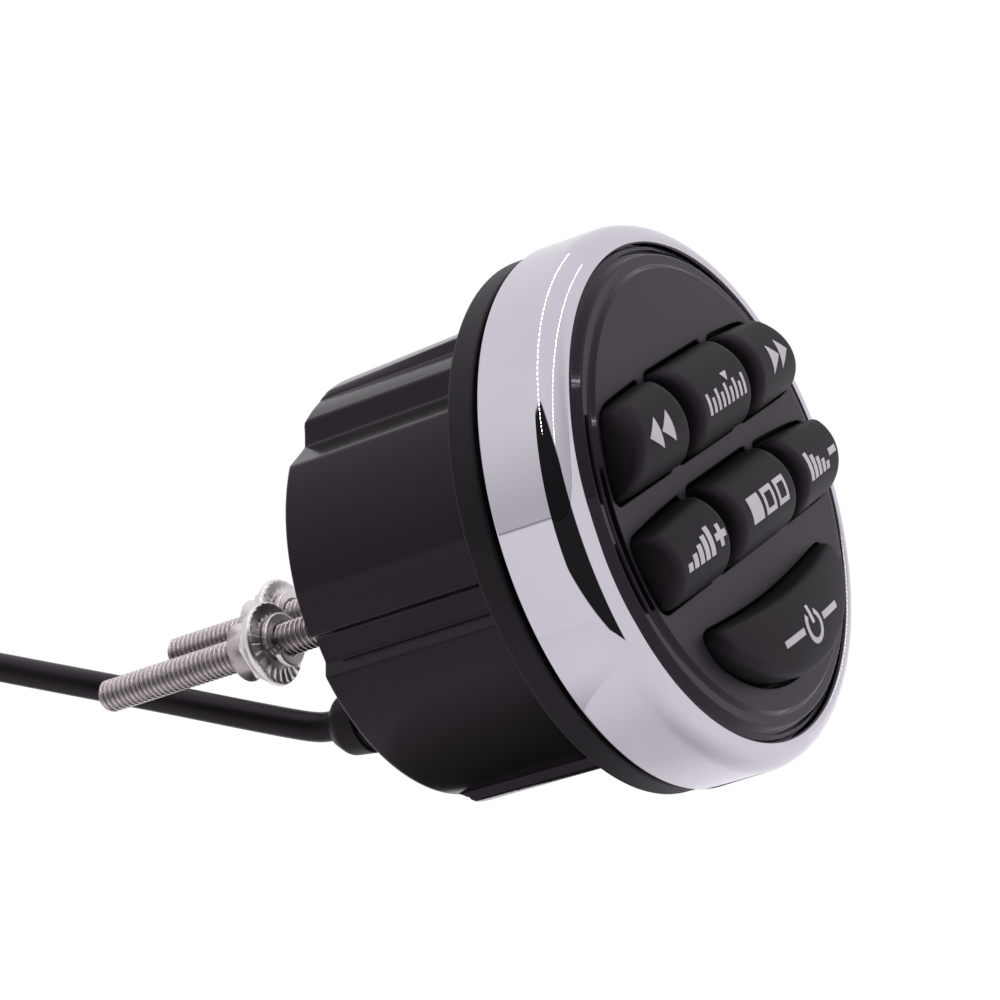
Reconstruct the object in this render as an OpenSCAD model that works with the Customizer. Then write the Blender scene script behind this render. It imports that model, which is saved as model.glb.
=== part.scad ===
// Marine stereo control head, round, for flush mounting in a dash panel.
// Millimetres, +Z up. The front looks along -Y, and the panel's front surface is the plane Y = 0.
// Most modules draw in a face frame (x to the right, y up, n out of the face), which facing() turns upright.

/* [Panel] */
// How far the bezel reaches over the edge of the round panel cut-out
panel_lap = 5.3; // [4:0.1:6]
// Thickness of the gasket between bezel and panel
gasket_t = 3.6; // [2:0.1:5]
// Width of the edge break on the gasket
gasket_chamfer = 0.3; // [0.1:0.05:0.6]

/* [Bezel] */
// Outer diameter of the bezel at its rear edge
bezel_d = 63; // [56:0.25:70]
// Width of the bezel's front, from its edge to its opening
bezel_front_w = 3; // [2.5:0.1:3.5]
// Depth of the bezel from its front to its rear edge
bezel_depth = 10; // [9:0.25:13]
// Radius of the rounded front shoulder
bezel_round = 3; // [1.5:0.1:3.5]
// How far the side draws in towards the shoulder
bezel_taper = 0.5; // [0.1:0.1:1]
// Wall of the bezel's side
bezel_wall = 1.2; // [0.8:0.1:1.6]
// Thickness of the lip that holds the face plate
bezel_lip = 1.8; // [1.2:0.1:2.4]
// Gap between the gasket and the bezel's rear edge
bezel_gap = 0.6; // [0.3:0.1:1]

/* [Housing] */
// Radial room between the can and the panel cut-out
can_room = 1.5; // [1:0.1:3]
// Depth of the can behind the panel plane
can_depth = 27; // [24:0.5:45]
// Side wall of the can
can_wall = 3.4; // [2.8:0.1:4]
// Rear wall of the can
can_rear_t = 2.5; // [2:0.1:4]
// Radius of the rounding round the rear of the can
can_rear_round = 1.75; // [1:0.25:3]
// Thickness of the housing's flange
flange_t = 4; // [3.6:0.1:6]
// Width of the flange's rim outside the board recess
flange_rim = 3.9; // [3.4:0.1:4.4]
// Half width of the keyed block on top of the can
block_half_w = 10.2; // [9:0.1:12]
// Lean of the block's sides from upright, in degrees
block_lean = 30; // [0:1:35]
// Height of the shelf at the foot of the keyed block
shelf_y = 20.5; // [20:0.1:22]
// Fall of the shelf away from the block, in degrees
shelf_lean = 12; // [0:1:15]
// Half width of the raised locating strip on the block
strip_half_w = 4.2; // [3:0.1:6]
// Lean of the strip's sides from upright, in degrees
strip_lean = 38; // [0:1:40]
// Fall of the strip's top towards the rear of the can
strip_fall = 0.7; // [0:0.1:0.9]
// Half width of the rib under the can
rib_half_w = 9.3; // [6:0.1:12]
// Height of the rib under the can
rib_h = 0.9; // [0.3:0.1:1.2]
// Depth of the groove down each side
groove_depth = 1.7; // [0.6:0.1:1.8]
// Height of the groove's upper edge
groove_top = 1.4; // [0.5:0.1:2]
// Depth below the centre of the groove's lower edge
groove_low = 1.6; // [0.5:0.1:2]
// Run of the groove's lower slope
groove_slope = 1.6; // [1:0.1:3]

/* [Face plate] */
// How far the key field stands in front of the bezel
field_lift = 0.9; // [0.4:0.1:2]
// Thickness of the face plate at the field
plate_t = 2.2; // [1.6:0.1:2.6]
// Width of the face plate's skirt
skirt_w = 4.6; // [4.2:0.1:5]
// Width of the steep bevel round the field
bevel_w = 1.35; // [0.8:0.05:1.8]
// Depth of the sloping ledge inside the bezel
ledge_drop = 0.55; // [0.2:0.05:1]
// Thickness of the seal between face plate and flange
seal_t = 1; // [0.6:0.1:1.6]

/* [Keys] */
// Height of the lower edge of the second row
row_low_y = -7.8; // [-8.6:0.1:-7]
// Height of the openings in the upper row
upper_row_h = 10.7; // [9.6:0.1:11.4]
// Height of the openings in the lower row
lower_row_h = 10.2; // [9.4:0.1:11]
// Bar between the two rows
row_bar = 2.4; // [2:0.1:3.2]
// Width of the middle opening in the upper row
upper_mid_w = 16; // [13:0.1:18]
// Width of the middle opening in the lower row
lower_mid_w = 17.7; // [13:0.1:18.5]
// Bar between neighbouring openings of a row
web_t = 1.2; // [1:0.05:1.8]
// Radius of the upper edge over the side openings
row_crown_r = 250; // [150:5:400]
// Corner radius of the openings
corner_r = 1.2; // [0.6:0.1:1.8]
// Height of the crescent's upper edge at its middle
crescent_top_y = -12.6; // [-13.4:0.1:-11.8]
// Height of the crescent's round ends
crescent_end_y = -11.2; // [-11.8:0.1:-10.8]
// Radius of the crescent's upper edge
crescent_smile_r = 82; // [60:1:120]
// Bar between the crescent's lower edge and the ends of the rows' arc
crescent_margin = 2; // [1.4:0.1:3]
// Width of the crescent
crescent_w = 35.8; // [30:0.1:37]
// Corner radius of the crescent's ends
crescent_end_r = 2.4; // [1.5:0.1:3]
// Gap between a key and its opening
key_gap = 0.4; // [0.3:0.05:0.6]
// Height of the key ridges over the field
key_proud = 4.7; // [3:0.1:6]
// Height of the row keys' long edges over the field
key_edge = 1.9; // [1:0.1:2.6]
// Radius along the ridge of the row keys
key_crown_r = 290; // [200:10:500]
// Height of the crescent key over the field
power_proud = 4.1; // [3:0.1:5]
// Radius across the crescent key
power_arch_r = 11; // [9:0.1:14]
// Radius along the crescent key
power_crown_r = 75; // [60:1:120]
// Travel of every key
key_travel = 1.2; // [0.8:0.1:1.6]
// Thickness of the flange that keeps a key in
key_flange_t = 1.2; // [0.8:0.05:1.4]
// How far that flange reaches past the opening
key_flange_lap = 0.4; // [0.2:0.05:0.45]
// Diameter of the contact pills
pill_d = 3.2; // [2:0.1:4]
// Thickness of the contact pills
pill_t = 0.5; // [0.3:0.1:0.8]

/* [Board] */
// Thickness of the circuit board
board_t = 1.6; // [1:0.1:2]
// Place of the controller chip's middle, to the left of the centre
chip_left = 8; // [6:0.5:10]
// Place of the controller chip's middle, above the centre
chip_up = 5; // [0:0.5:8]
// Side of the controller chip
chip_w = 10; // [6:0.5:12]
// Height of the controller chip
chip_t = 1.4; // [0.8:0.1:2]
// Place of the capacitors, to the right of the centre
capacitor_right = 9; // [7:0.5:12]
// Place of the upper capacitor, above the centre
capacitor_up = 8; // [6:0.5:10]
// Distance between the two capacitors
capacitor_spacing = 10; // [8.5:0.5:12]
// Diameter of the two capacitors
capacitor_d = 6.3; // [4:0.1:8]
// Height of the capacitors
capacitor_h = 8; // [5:0.5:11]
// Height of the cable header on the board
header_h = 8; // [6:0.5:12]
// Side of the cable header
header_w = 9; // [6:0.5:10]

/* [Face screws] */
// Number of screws that join housing and face plate
screw_count = 6; // [4:1:8]
// Diameter of the screw shafts
screw_d = 2.2; // [1.6:0.1:2.4]
// Diameter of the screw heads
screw_head_d = 3.4; // [2.8:0.1:3.4]
// Height of the screw heads
screw_head_h = 1.4; // [1:0.1:1.6]

/* [Studs] */
// Distance between the two studs
stud_spacing = 16; // [14:0.5:24]
// Diameter of the studs
stud_d = 4; // [3:0.5:5]
// Length of the studs behind the can
stud_len = 41.4; // [30:0.2:60]
// Chamfer on the stud tips
stud_chamfer = 0.7; // [0.3:0.1:1]
// Length of a stud's free end, from its tip to the run-out groove
stud_free_len = 12.5; // [10:0.5:12.5]
// Diameter of the stud heads inside the can
stud_head_d = 7.2; // [6:0.1:8]
// Thickness of the stud heads
stud_head_t = 1.5; // [1:0.1:3]
// Distance from the can to the left nut's flange
left_nut_gap = 15.3; // [8:0.1:23.5]
// Distance from the can to the right nut's flange
right_nut_gap = 23.5; // [8:0.1:23.5]
// Diameter of the nut's flange
nut_flange_d = 10; // [8.5:0.1:12]
// Thickness of the nut's flange
nut_flange_t = 1.2; // [0.8:0.1:1.6]
// Width of the nut across its flats
nut_flats = 7; // [6.4:0.1:8]
// Overall height of the nut
nut_h = 4.65; // [3.5:0.05:6]
// Number of teeth under the nut's flange
nut_teeth = 24; // [12:1:32]
// Depth of the teeth
nut_tooth_h = 0.3; // [0.1:0.05:0.5]
// Angle of the nuts round their studs
nut_turn = 44; // [0:1:59]
// Outer diameter of the spring washers
washer_d = 6.6; // [6:0.1:8]
// Thickness of the spring washers
washer_t = 1; // [0.7:0.1:1.4]
// Width of the split in a spring washer
washer_split = 0.9; // [0.4:0.1:1.4]
// Angle of the split round the stud
washer_turn = 187; // [0:1:359]

/* [Cable] */
// Diameter of the cable
cable_d = 3.6; // [3:0.1:3.6]
// How far below the centre the cable leaves the can
gland_drop = 12.8; // [11.5:0.1:13.5]
// Length of the strain relief behind the can
gland_len = 17.5; // [14:0.5:24]
// Diameter of the strain relief at the can
gland_root_d = 12; // [10:0.25:12.5]
// Diameter of the strain relief near its tip
gland_tip_d = 6.6; // [5.5:0.1:8]
// Number of flex grooves round the strain relief
gland_grooves = 3; // [2:1:5]
// Width of a flex groove
gland_groove_w = 1.2; // [0.8:0.1:1.6]
// Diameter of the threaded neck through the rear wall
gland_neck_d = 7; // [5.5:0.1:8]
// Width of the inside nut across its flats
gland_nut_flats = 10; // [9.5:0.5:11]
// Thickness of the inside nut
gland_nut_t = 3; // [2:0.25:4]
// Turns in the put-away coil
coil_turns = 7; // [5:2:7]
// Outer winding radius of the coil, at the cable's centre
coil_r = 23.5; // [21:0.5:30]
// Distance between neighbouring windings
wind_pitch = 4.1; // [4.05:0.05:4.5]
// Width of the tie
tie_w = 5; // [3:0.5:8]
// Thickness of the tie
tie_t = 1; // [0.6:0.1:1.6]
// Diameter of the plug's body
plug_d = 11; // [9:0.25:14]
// Length of the plug's body with its strain relief
plug_len = 24; // [18:0.5:32]
// Diameter of the plug's metal shell
plug_shell_d = 9.2; // [8:0.1:9.4]
// Length of the plug's metal shell
plug_shell_len = 8; // [5:0.5:12]
// Number of contact pins in the plug
pin_count = 6; // [4:1:8]

/* [Hidden] */
$fn = 96;
// Running fit of threads and shafts, radial
thread_fit = 0.05;
// Room round a screw, a neck or a board in its seat
seat_room = 0.3;
hole_fit = 0.1;
// Overlap used where one shape of a solid runs into the next
bite = 0.1;
// Reach of a cut past the face it leaves
over = 1;
// Radial room of the locating strip and of the gasket at the panel cut-out
cutout_fit = 0.2;
// Step from the gasket's edge out to the bezel's
gasket_step = 0.43;
// Room between the flange and the bezel's inside, and between the face plate's ledge and the bezel's opening
snap_room = 0.2;
// Plain width of the field outside the openings
field_margin = 0.6;
// Depth of the board's front below the flange
board_sink = 0.4;
// Reach of the strain relief's neck past its nut
neck_reach = 2;
// Room under the screw heads, and before the screw tips
head_sink = 0.2;
tip_room = 0.2;
// Distance from the bezel's rear edge to its snap bead
bead_back = 1.25;
// Lead-in of the groove's upper edge
groove_lead = 0.6;

// Face frame radii
bezel_r = bezel_d / 2;
cutout_r = bezel_r - panel_lap;
can_r = cutout_r - can_room;
can_bore_r = can_r - can_wall;
strip_r = cutout_r - cutout_fit;
gasket_in_r = cutout_r + cutout_fit;
gasket_out_r = bezel_r - gasket_step;
opening_r = bezel_r - bezel_front_w;
bezel_in_r = bezel_r - bezel_wall;
flange_r = bezel_in_r - snap_room;
recess_r = flange_r - flange_rim;
board_r = recess_r - seat_room;
skirt_in_r = flange_r - skirt_w;
slot_end_r = skirt_in_r - key_flange_lap - key_gap;
field_r = slot_end_r + field_margin;
crescent_low_r = slot_end_r - crescent_margin;
screw_ring_r = (recess_r + flange_r) / 2;

// Levels along n, from the panel plane forwards
flange_top_n = gasket_t + flange_t;
bezel_rear_n = gasket_t + bezel_gap;
bezel_front_n = bezel_rear_n + bezel_depth;
lip_under_n = bezel_front_n - bezel_lip;
skirt_rear_n = flange_top_n + seal_t;
screw_tip_n = lip_under_n - 3 * tip_room;
field_n = bezel_front_n + field_lift;
plate_rear_n = field_n - plate_t;
board_rear_n = flange_top_n - board_sink - board_t;
board_front_n = board_rear_n + board_t;
pad_t = 0.1;
stop_gap = 0.1;
pill_n = board_front_n + pad_t + stop_gap + key_travel;
core_n = pill_n + pill_t;
key_flange_top_n = plate_rear_n - stop_gap;
key_flange_n = key_flange_top_n - key_flange_t;

// Levels behind the panel plane
can_rear_n = -can_depth;
can_floor_n = can_rear_n + can_rear_t;
left_nut_n = can_rear_n - left_nut_gap;
right_nut_n = can_rear_n - right_nut_gap;
gland_end_n = can_rear_n - gland_len;
gland_inner_n = can_floor_n + gland_nut_t + neck_reach;

// Snap bead of the bezel and its groove in the flange
bead_h = 0.4;
bead_w = 0.9;
bead_n = bezel_rear_n + bead_back;

// Rows of keys: lower edge, height and half width of the middle opening
upper_low_y = row_low_y + lower_row_h + row_bar;
LOW = [row_low_y, upper_low_y];
HIGH = [lower_row_h, upper_row_h];
MID = [lower_mid_w / 2, upper_mid_w / 2];
// Inset of a key's core inside its opening, and of the mat's window round the core
core_inset = 1.2;
window_room = 0.5;
// Ridge of the crescent key
power_ridge_y = (crescent_top_y - crescent_low_r) / 2;

// Route of the cable from the strain relief's end, as [back, up]
route = [[0, 0], [2, 0.2], [5, 1.3], [12.5, 4.8], [21.5, 9.1], [30.5, 13.3], [39.5, 17.5],
         [47.5, 21.2], [55, 24], [62, 24.2], [69, 21.2], [74, 15.2], [76, 7.8], [76, -0.4],
         [76, -9.4], [76, -18.4], [76, -27.4], [76, -33.4]];
lead_sides = 8;
coil_sides = 6;
coil_steps = 24;
coil_layers = 4;
layer_turns = coil_turns / coil_layers;
climb_turns = 0.5;
exit_at = [0, -gland_end_n, -gland_drop];
lead_path = [for (p = route) exit_at + [0, p[0], p[1]]];
lead_end = lead_path[len(lead_path) - 1];
coil_centre = lead_end + [0, coil_r, -cable_d];
coil_in_r = coil_r - wind_pitch * layer_turns;
coil_path = concat([lead_end],
                   [for (k = [0 : coil_turns * coil_steps]) coil_point(k / coil_steps)],
                   [coil_point(coil_turns) - [0, 0, cable_d]]);
plug_at = coil_path[len(coil_path) - 1];

// Radius of the winding after s turns: it spirals in and out again at a steady rate
function coil_radius(s) =
    let (t = s % (2 * layer_turns))
    coil_r - wind_pitch * (t < layer_turns ? t : 2 * layer_turns - t);

// Layers climbed after s turns: each climb takes the half turn round a reversal
function coil_layer(s, k = 1) =
    k >= coil_layers ? 0 :
    min(1, max(0, (s - k * layer_turns) / climb_turns + 0.5)) + coil_layer(s, k + 1);

// Centre of the winding after s turns
function coil_point(s) =
    let (angle = 180 + 360 * s, r = coil_radius(s))
    coil_centre + [wind_pitch * coil_layer(s), r * cos(angle), r * sin(angle)];

// Least clear gap between windings, over points half a turn or more apart
coil_gap = min([for (i = [0 : len(coil_path) - 1], j = [i + coil_steps / 2 : len(coil_path) - 1])
                norm(coil_path[i] - coil_path[j])]) - cable_d;
echo(coil_least_gap = coil_gap);

// Direction of a path at point i
function along(path, i) =
    let (d = path[min(i + 1, len(path) - 1)] - path[max(i - 1, 0)])
    d / norm(d);

// Ring of points round c, square to direction t
function ring(c, t, r, sides) =
    let (u = cross([1, 0, 0], t) / norm(cross([1, 0, 0], t)), w = cross(t, u))
    [for (k = [0 : sides - 1]) c + r * (cos(360 * k / sides) * u + sin(360 * k / sides) * w)];

// Tube of diameter d along a path, with square ends along the directions first and last
module tube(path, d, sides, first, last) {
    n = len(path);
    points = [for (i = [0 : n - 1])
              each ring(path[i], i == 0 ? first : i == n - 1 ? last : along(path, i), d / 2, sides)];
    walls = [for (i = [0 : n - 2], k = [0 : sides - 1])
             let (a = i * sides + k, b = i * sides + (k + 1) % sides)
             each [[a, b + sides, b], [a, a + sides, b + sides]]];
    start = [for (k = [1 : sides - 2]) [0, k, k + 1]];
    base = (n - 1) * sides;
    finish = [for (k = [1 : sides - 2]) [base, base + k + 1, base + k]];
    polyhedron(points, concat(walls, start, finish), convexity = 8);
}

// Turns the face frame (x, y, n) upright
module facing() {
    rotate([90, 0, 0]) children();
}

// Moves along n in the face frame
module at_n(n) {
    translate([0, 0, n]) children();
}

// Rectangle from (x0, y0) to (x1, y1) with round corners
module round_rect(x0, x1, y0, y1, r) {
    translate([x0 + r, y0]) square([x1 - x0 - 2 * r, y1 - y0]);
    translate([x0, y0 + r]) square([x1 - x0, y1 - y0 - 2 * r]);
    for (x = [x0 + r, x1 - r], y = [y0 + r, y1 - r])
        translate([x, y]) circle(r);
}

// Opening of a row key, drawn in by inset; row 0 is the lower one, side -1, 0 or 1
module row_opening(row, side, inset) {
    low = LOW[row] + inset;
    high = LOW[row] + HIGH[row] - inset;
    if (side == 0)
        round_rect(-MID[row] + inset, MID[row] - inset, low, high, corner_r);
    else
        mirror([side < 0 ? 1 : 0, 0])
            intersection() {
                round_rect(MID[row] + web_t + inset, slot_end_r + 2 * corner_r, low, high, corner_r);
                circle(slot_end_r - inset);
                translate([0, LOW[row] + HIGH[row] - row_crown_r]) circle(row_crown_r - inset, $fn = 720);
            }
}

// Opening of the crescent key, drawn in by inset
module crescent_opening(inset) {
    intersection() {
        round_rect(-crescent_w / 2 + inset, crescent_w / 2 - inset, -crescent_low_r - over,
                   crescent_end_y - inset, crescent_end_r);
        difference() {
            circle(crescent_low_r - inset);
            translate([0, crescent_top_y + crescent_smile_r]) circle(crescent_smile_r + inset, $fn = 360);
        }
    }
}

// All seven openings
module openings(inset) {
    for (row = [0, 1], side = [-1, 0, 1])
        row_opening(row, side, inset);
    crescent_opening(inset);
}

// Middle of a row key, where its pill sits
function key_x(row, side) = side * (MID[row] + web_t + slot_end_r - key_flange_lap) / 2;
function key_y(row) = LOW[row] + HIGH[row] / 2;

// Body with an arched top: radius arch_r across, crown_r along x, ridge at height top_n
module arched_body(ridge_y, half_h, top_n, arch_r, crown_r) {
    half_angle = asin((slot_end_r + over) / crown_r);
    depth = top_n - key_flange_n + over;
    translate([0, ridge_y, top_n - crown_r])
        rotate([0, -90, -90])
            rotate([0, 0, -half_angle])
                rotate_extrude(angle = 2 * half_angle, $fn = 720) {
                    translate([crown_r - arch_r, 0]) circle(arch_r);
                    translate([crown_r - depth, -half_h]) square([depth - arch_r, 2 * half_h]);
                }
}

// Key from three outlines: children 0 the cap, 1 the retaining flange, 2 the core
module key_from(ridge_y, half_h, top_n, arch_r, crown_r) {
    color([0.27, 0.26, 0.28]) facing() {
        intersection() {
            at_n(key_flange_n) linear_extrude(top_n + over - key_flange_n) children(0);
            arched_body(ridge_y, half_h, top_n, arch_r, crown_r);
        }
        at_n(key_flange_n) linear_extrude(key_flange_t) children(1);
        at_n(core_n) linear_extrude(key_flange_n - core_n + bite) children(2);
    }
}

// Arched key of a row
module row_key(row, side) {
    half_h = HIGH[row] / 2 - key_gap;
    rise = key_proud - key_edge;
    arch_r = (half_h * half_h + rise * rise) / (2 * rise);
    key_from(key_y(row), half_h + bite, field_n + key_proud, arch_r, key_crown_r) {
        row_opening(row, side, key_gap);
        row_opening(row, side, -key_flange_lap);
        row_opening(row, side, core_inset);
    }
}

// Crescent key with a domed top
module key_power() {
    half_h = crescent_end_y - power_ridge_y;
    key_from(power_ridge_y, half_h, field_n + power_proud, power_arch_r, power_crown_r) {
        crescent_opening(key_gap);
        crescent_opening(-key_flange_lap);
        crescent_opening(core_inset);
    }
}

// Contact pill under a key
module pill(x, y) {
    color([0.12, 0.12, 0.13]) facing()
        translate([x, y, pill_n]) cylinder(d = pill_d, h = pill_t);
}

// Places children at each key's middle
module at_keys() {
    for (row = [0, 1], side = [-1, 0, 1])
        translate([key_x(row, side), key_y(row), 0]) children();
    translate([0, power_ridge_y, 0]) children();
}

// Places children at each face screw
module at_screws() {
    for (i = [0 : screw_count - 1])
        rotate([0, 0, 360 * (i + 0.5) / screw_count]) translate([screw_ring_r, 0, 0]) children();
}

module chrome_bezel() {
    shoulder_r = bezel_r - bezel_taper - bezel_round;
    shoulder_n = bezel_front_n - bezel_round;
    color([0.78, 0.77, 0.8]) facing() rotate_extrude() {
        difference() {
            union() {
                polygon([[0, bezel_rear_n], [bezel_r, bezel_rear_n],
                         [bezel_r - bezel_taper, shoulder_n], [0, shoulder_n]]);
                translate([0, shoulder_n - bite]) square([shoulder_r, bezel_round + bite]);
                translate([shoulder_r, shoulder_n]) circle(bezel_round);
            }
            polygon([[0, bezel_rear_n - over], [bezel_in_r, bezel_rear_n - over],
                     [bezel_in_r, bead_n - bead_w / 2], [bezel_in_r - bead_h, bead_n],
                     [bezel_in_r, bead_n + bead_w / 2], [bezel_in_r, lip_under_n],
                     [opening_r, lip_under_n], [opening_r, bezel_front_n + over],
                     [0, bezel_front_n + over]]);
        }
    }
}

module panel_gasket() {
    c = gasket_chamfer;
    color([0.2, 0.2, 0.21]) facing() rotate_extrude()
        polygon([[gasket_in_r, 0], [gasket_out_r - c, 0], [gasket_out_r, c], [gasket_out_r, gasket_t - c],
                 [gasket_out_r - c, gasket_t], [gasket_in_r, gasket_t]]);
}

// Cross-section of the can: keyed block with locating strip on top, rib below, groove down each side
module can_section() {
    strip_foot = sqrt(can_r ^ 2 - strip_half_w ^ 2) - bite;
    strip_top_w = strip_half_w - (strip_r - strip_foot) * tan(strip_lean);
    block_rise = strip_r - shelf_y;
    difference() {
        union() {
            circle(can_r);
            intersection() {
                circle(strip_r);
                polygon([[-strip_half_w, 0], [strip_half_w, 0], [strip_half_w, strip_foot],
                         [strip_top_w, strip_r], [-strip_top_w, strip_r], [-strip_half_w, strip_foot]]);
            }
            intersection() {
                circle(can_r + rib_h);
                translate([-rib_half_w, -can_r - rib_h]) square([2 * rib_half_w, can_r + rib_h]);
            }
        }
        for (side = [0, 1])
            mirror([side, 0]) {
                translate([block_half_w, shelf_y])
                    polygon([[0, 0], [-block_rise * tan(block_lean), block_rise], [can_r, block_rise],
                             [can_r, -can_r * tan(shelf_lean)]]);
                polygon([[can_r + over, groove_top + groove_lead], [can_r - groove_depth, groove_top],
                         [can_r - groove_depth, -groove_low], [can_r - bite, -groove_low - groove_slope],
                         [can_r + over, -groove_low - groove_slope - bite]]);
            }
    }
}

// Round-edged envelope that trims the rear of the can and lets the strip fall towards it
module can_envelope() {
    rear_r = strip_r - strip_fall;
    round_n = can_rear_n + can_rear_round;
    rotate_extrude() {
        polygon([[0, can_rear_n], [rear_r - can_rear_round, can_rear_n], [rear_r - can_rear_round, round_n],
                 [rear_r, round_n], [strip_r + cutout_fit, gasket_t + over], [0, gasket_t + over]]);
        translate([rear_r - can_rear_round, round_n]) circle(can_rear_round);
    }
}

module rear_housing() {
    head_seat = screw_head_h + head_sink;
    groove_h = bead_h - hole_fit;
    color([0.16, 0.16, 0.17]) facing() difference() {
        union() {
            intersection() {
                at_n(can_rear_n - over) linear_extrude(can_depth + gasket_t + over + bite) can_section();
                can_envelope();
            }
            at_n(gasket_t) cylinder(r = flange_r, h = flange_t);
        }
        at_n(can_floor_n) cylinder(r = can_bore_r, h = flange_top_n - can_floor_n + over);
        at_n(board_rear_n) cylinder(r = recess_r, h = flange_top_n - board_rear_n + over);
        rotate_extrude()
            polygon([[flange_r + over, bead_n - bead_w], [flange_r - groove_h, bead_n - bead_w / 4],
                     [flange_r - groove_h, bead_n + bead_w / 4], [flange_r + over, bead_n + bead_w]]);
        at_screws() {
            at_n(gasket_t - over) cylinder(d = screw_head_d + 2 * hole_fit, h = head_seat + over);
            at_n(gasket_t) cylinder(d = screw_d + 2 * hole_fit, h = flange_t + over);
        }
        for (x = [-1, 1])
            translate([x * stud_spacing / 2, 0, can_rear_n - over])
                cylinder(d = stud_d + 2 * hole_fit, h = can_rear_t + 2 * over);
        translate([0, -gland_drop, can_rear_n - over])
            cylinder(d = gland_neck_d + 2 * hole_fit, h = can_rear_t + 2 * over);
    }
}

module face_plate() {
    ledge_r = opening_r - snap_room;
    pilot_h = screw_tip_n + tip_room - skirt_rear_n;
    color([0.1, 0.1, 0.11]) facing() difference() {
        rotate_extrude()
            polygon([[0, plate_rear_n], [0, field_n], [field_r, field_n],
                     [field_r + bevel_w, bezel_front_n], [ledge_r, bezel_front_n - ledge_drop],
                     [ledge_r, lip_under_n], [flange_r, lip_under_n], [flange_r, skirt_rear_n],
                     [skirt_in_r, skirt_rear_n], [skirt_in_r, plate_rear_n]]);
        at_n(plate_rear_n - over) linear_extrude(plate_t + 2 * over) openings(0);
        at_screws() at_n(skirt_rear_n - over) cylinder(d = screw_d + 2 * thread_fit, h = pilot_h + over);
    }
}

module face_seal() {
    color([0.1, 0.1, 0.1]) facing() at_n(flange_top_n) difference() {
        cylinder(r = flange_r - seat_room, h = seal_t);
        at_n(-over) cylinder(r = recess_r + seat_room, h = seal_t + 2 * over);
        at_screws() at_n(-over) cylinder(d = screw_d + 2 * seat_room, h = seal_t + 2 * over);
    }
}

module face_screws() {
    head_n = gasket_t + head_sink;
    color([0.7, 0.7, 0.72]) facing() at_screws() {
        at_n(head_n) cylinder(d = screw_head_d, h = screw_head_h);
        at_n(head_n) cylinder(d = screw_d, h = screw_tip_n - head_n);
    }
}

module keypad_mat() {
    color([0.35, 0.35, 0.37]) facing() at_n(board_front_n) difference() {
        cylinder(r = board_r, h = skirt_rear_n - board_front_n);
        at_n(-over)
            linear_extrude(skirt_rear_n - board_front_n + 2 * over) openings(core_inset - window_room);
    }
}

module circuit_board() {
    color([0.05, 0.3, 0.15]) facing() at_n(board_rear_n) cylinder(r = board_r, h = board_t);
}

module contact_pads() {
    color([0.85, 0.7, 0.3]) facing() at_n(board_front_n) at_keys() cylinder(d = pill_d + 0.8, h = pad_t);
}

module controller_chip() {
    color([0.08, 0.08, 0.09]) facing()
        translate([-chip_left - chip_w / 2, chip_up - chip_w / 2, board_rear_n - chip_t])
            cube([chip_w, chip_w, chip_t]);
}

module capacitors() {
    color([0.5, 0.5, 0.55]) facing()
        for (y = [capacitor_up - capacitor_spacing, capacitor_up])
            translate([capacitor_right, y, board_rear_n - capacitor_h])
                cylinder(d = capacitor_d, h = capacitor_h);
}

module cable_header() {
    color([0.9, 0.88, 0.8]) facing()
        translate([-header_w / 2, -gland_drop - header_w / 2, board_rear_n - header_h])
            cube([header_w, header_w, header_h]);
}

module cable_tail_inside() {
    color([0.1, 0.1, 0.1]) facing()
        translate([0, -gland_drop, gland_inner_n])
            cylinder(d = cable_d, h = board_rear_n - header_h - gland_inner_n);
}

// Threaded stud with its head inside the can and a run-out groove in front of its free end
module stud(x) {
    tip_n = can_rear_n - stud_len;
    free_n = tip_n + stud_free_len;
    r = stud_d / 2;
    groove_r = r - 0.15;
    groove_w = 0.4;
    color([0.62, 0.6, 0.57]) facing() translate([x, 0, 0]) rotate_extrude()
        polygon([[0, tip_n], [r - stud_chamfer, tip_n], [r, tip_n + stud_chamfer], [r, free_n],
                 [groove_r, free_n], [groove_r, free_n + groove_w], [r, free_n + groove_w], [r, can_floor_n],
                 [stud_head_d / 2, can_floor_n], [stud_head_d / 2, can_floor_n + stud_head_t],
                 [0, can_floor_n + stud_head_t]]);
}

// Split spring washer in front of a nut
module spring_washer(x, nut_n) {
    color([0.6, 0.59, 0.57]) facing() translate([x, 0, nut_n + thread_fit]) difference() {
        cylinder(d = washer_d, h = washer_t);
        at_n(-over) cylinder(r = stud_d / 2 + hole_fit, h = washer_t + 2 * over);
        rotate([0, 0, washer_turn]) rotate([20, 0, 0]) translate([0, -washer_split / 2, -washer_t])
            cube([washer_d, washer_split, 4 * washer_t]);
    }
}

// Serrated flange nut with its teeth towards the can
module flange_nut(x, nut_n) {
    tooth = nut_tooth_h * sqrt(2);
    color([0.66, 0.64, 0.61]) facing() translate([x, 0, nut_n]) difference() {
        union() {
            at_n(-nut_flange_t) cylinder(d = nut_flange_d, h = nut_flange_t);
            at_n(-nut_h) rotate([0, 0, nut_turn])
                cylinder(d = nut_flats / cos(30), h = nut_h - bite, $fn = 6);
        }
        at_n(-nut_h - over) cylinder(r = stud_d / 2 + thread_fit, h = nut_h + 2 * over);
        for (i = [0 : nut_teeth - 1])
            rotate([0, 0, 360 * i / nut_teeth]) translate([washer_d / 2, 0, 0])
                rotate([45, 0, 0]) translate([0, -tooth / 2, -tooth / 2])
                    cube([nut_flange_d, tooth, tooth]);
    }
}

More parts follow.
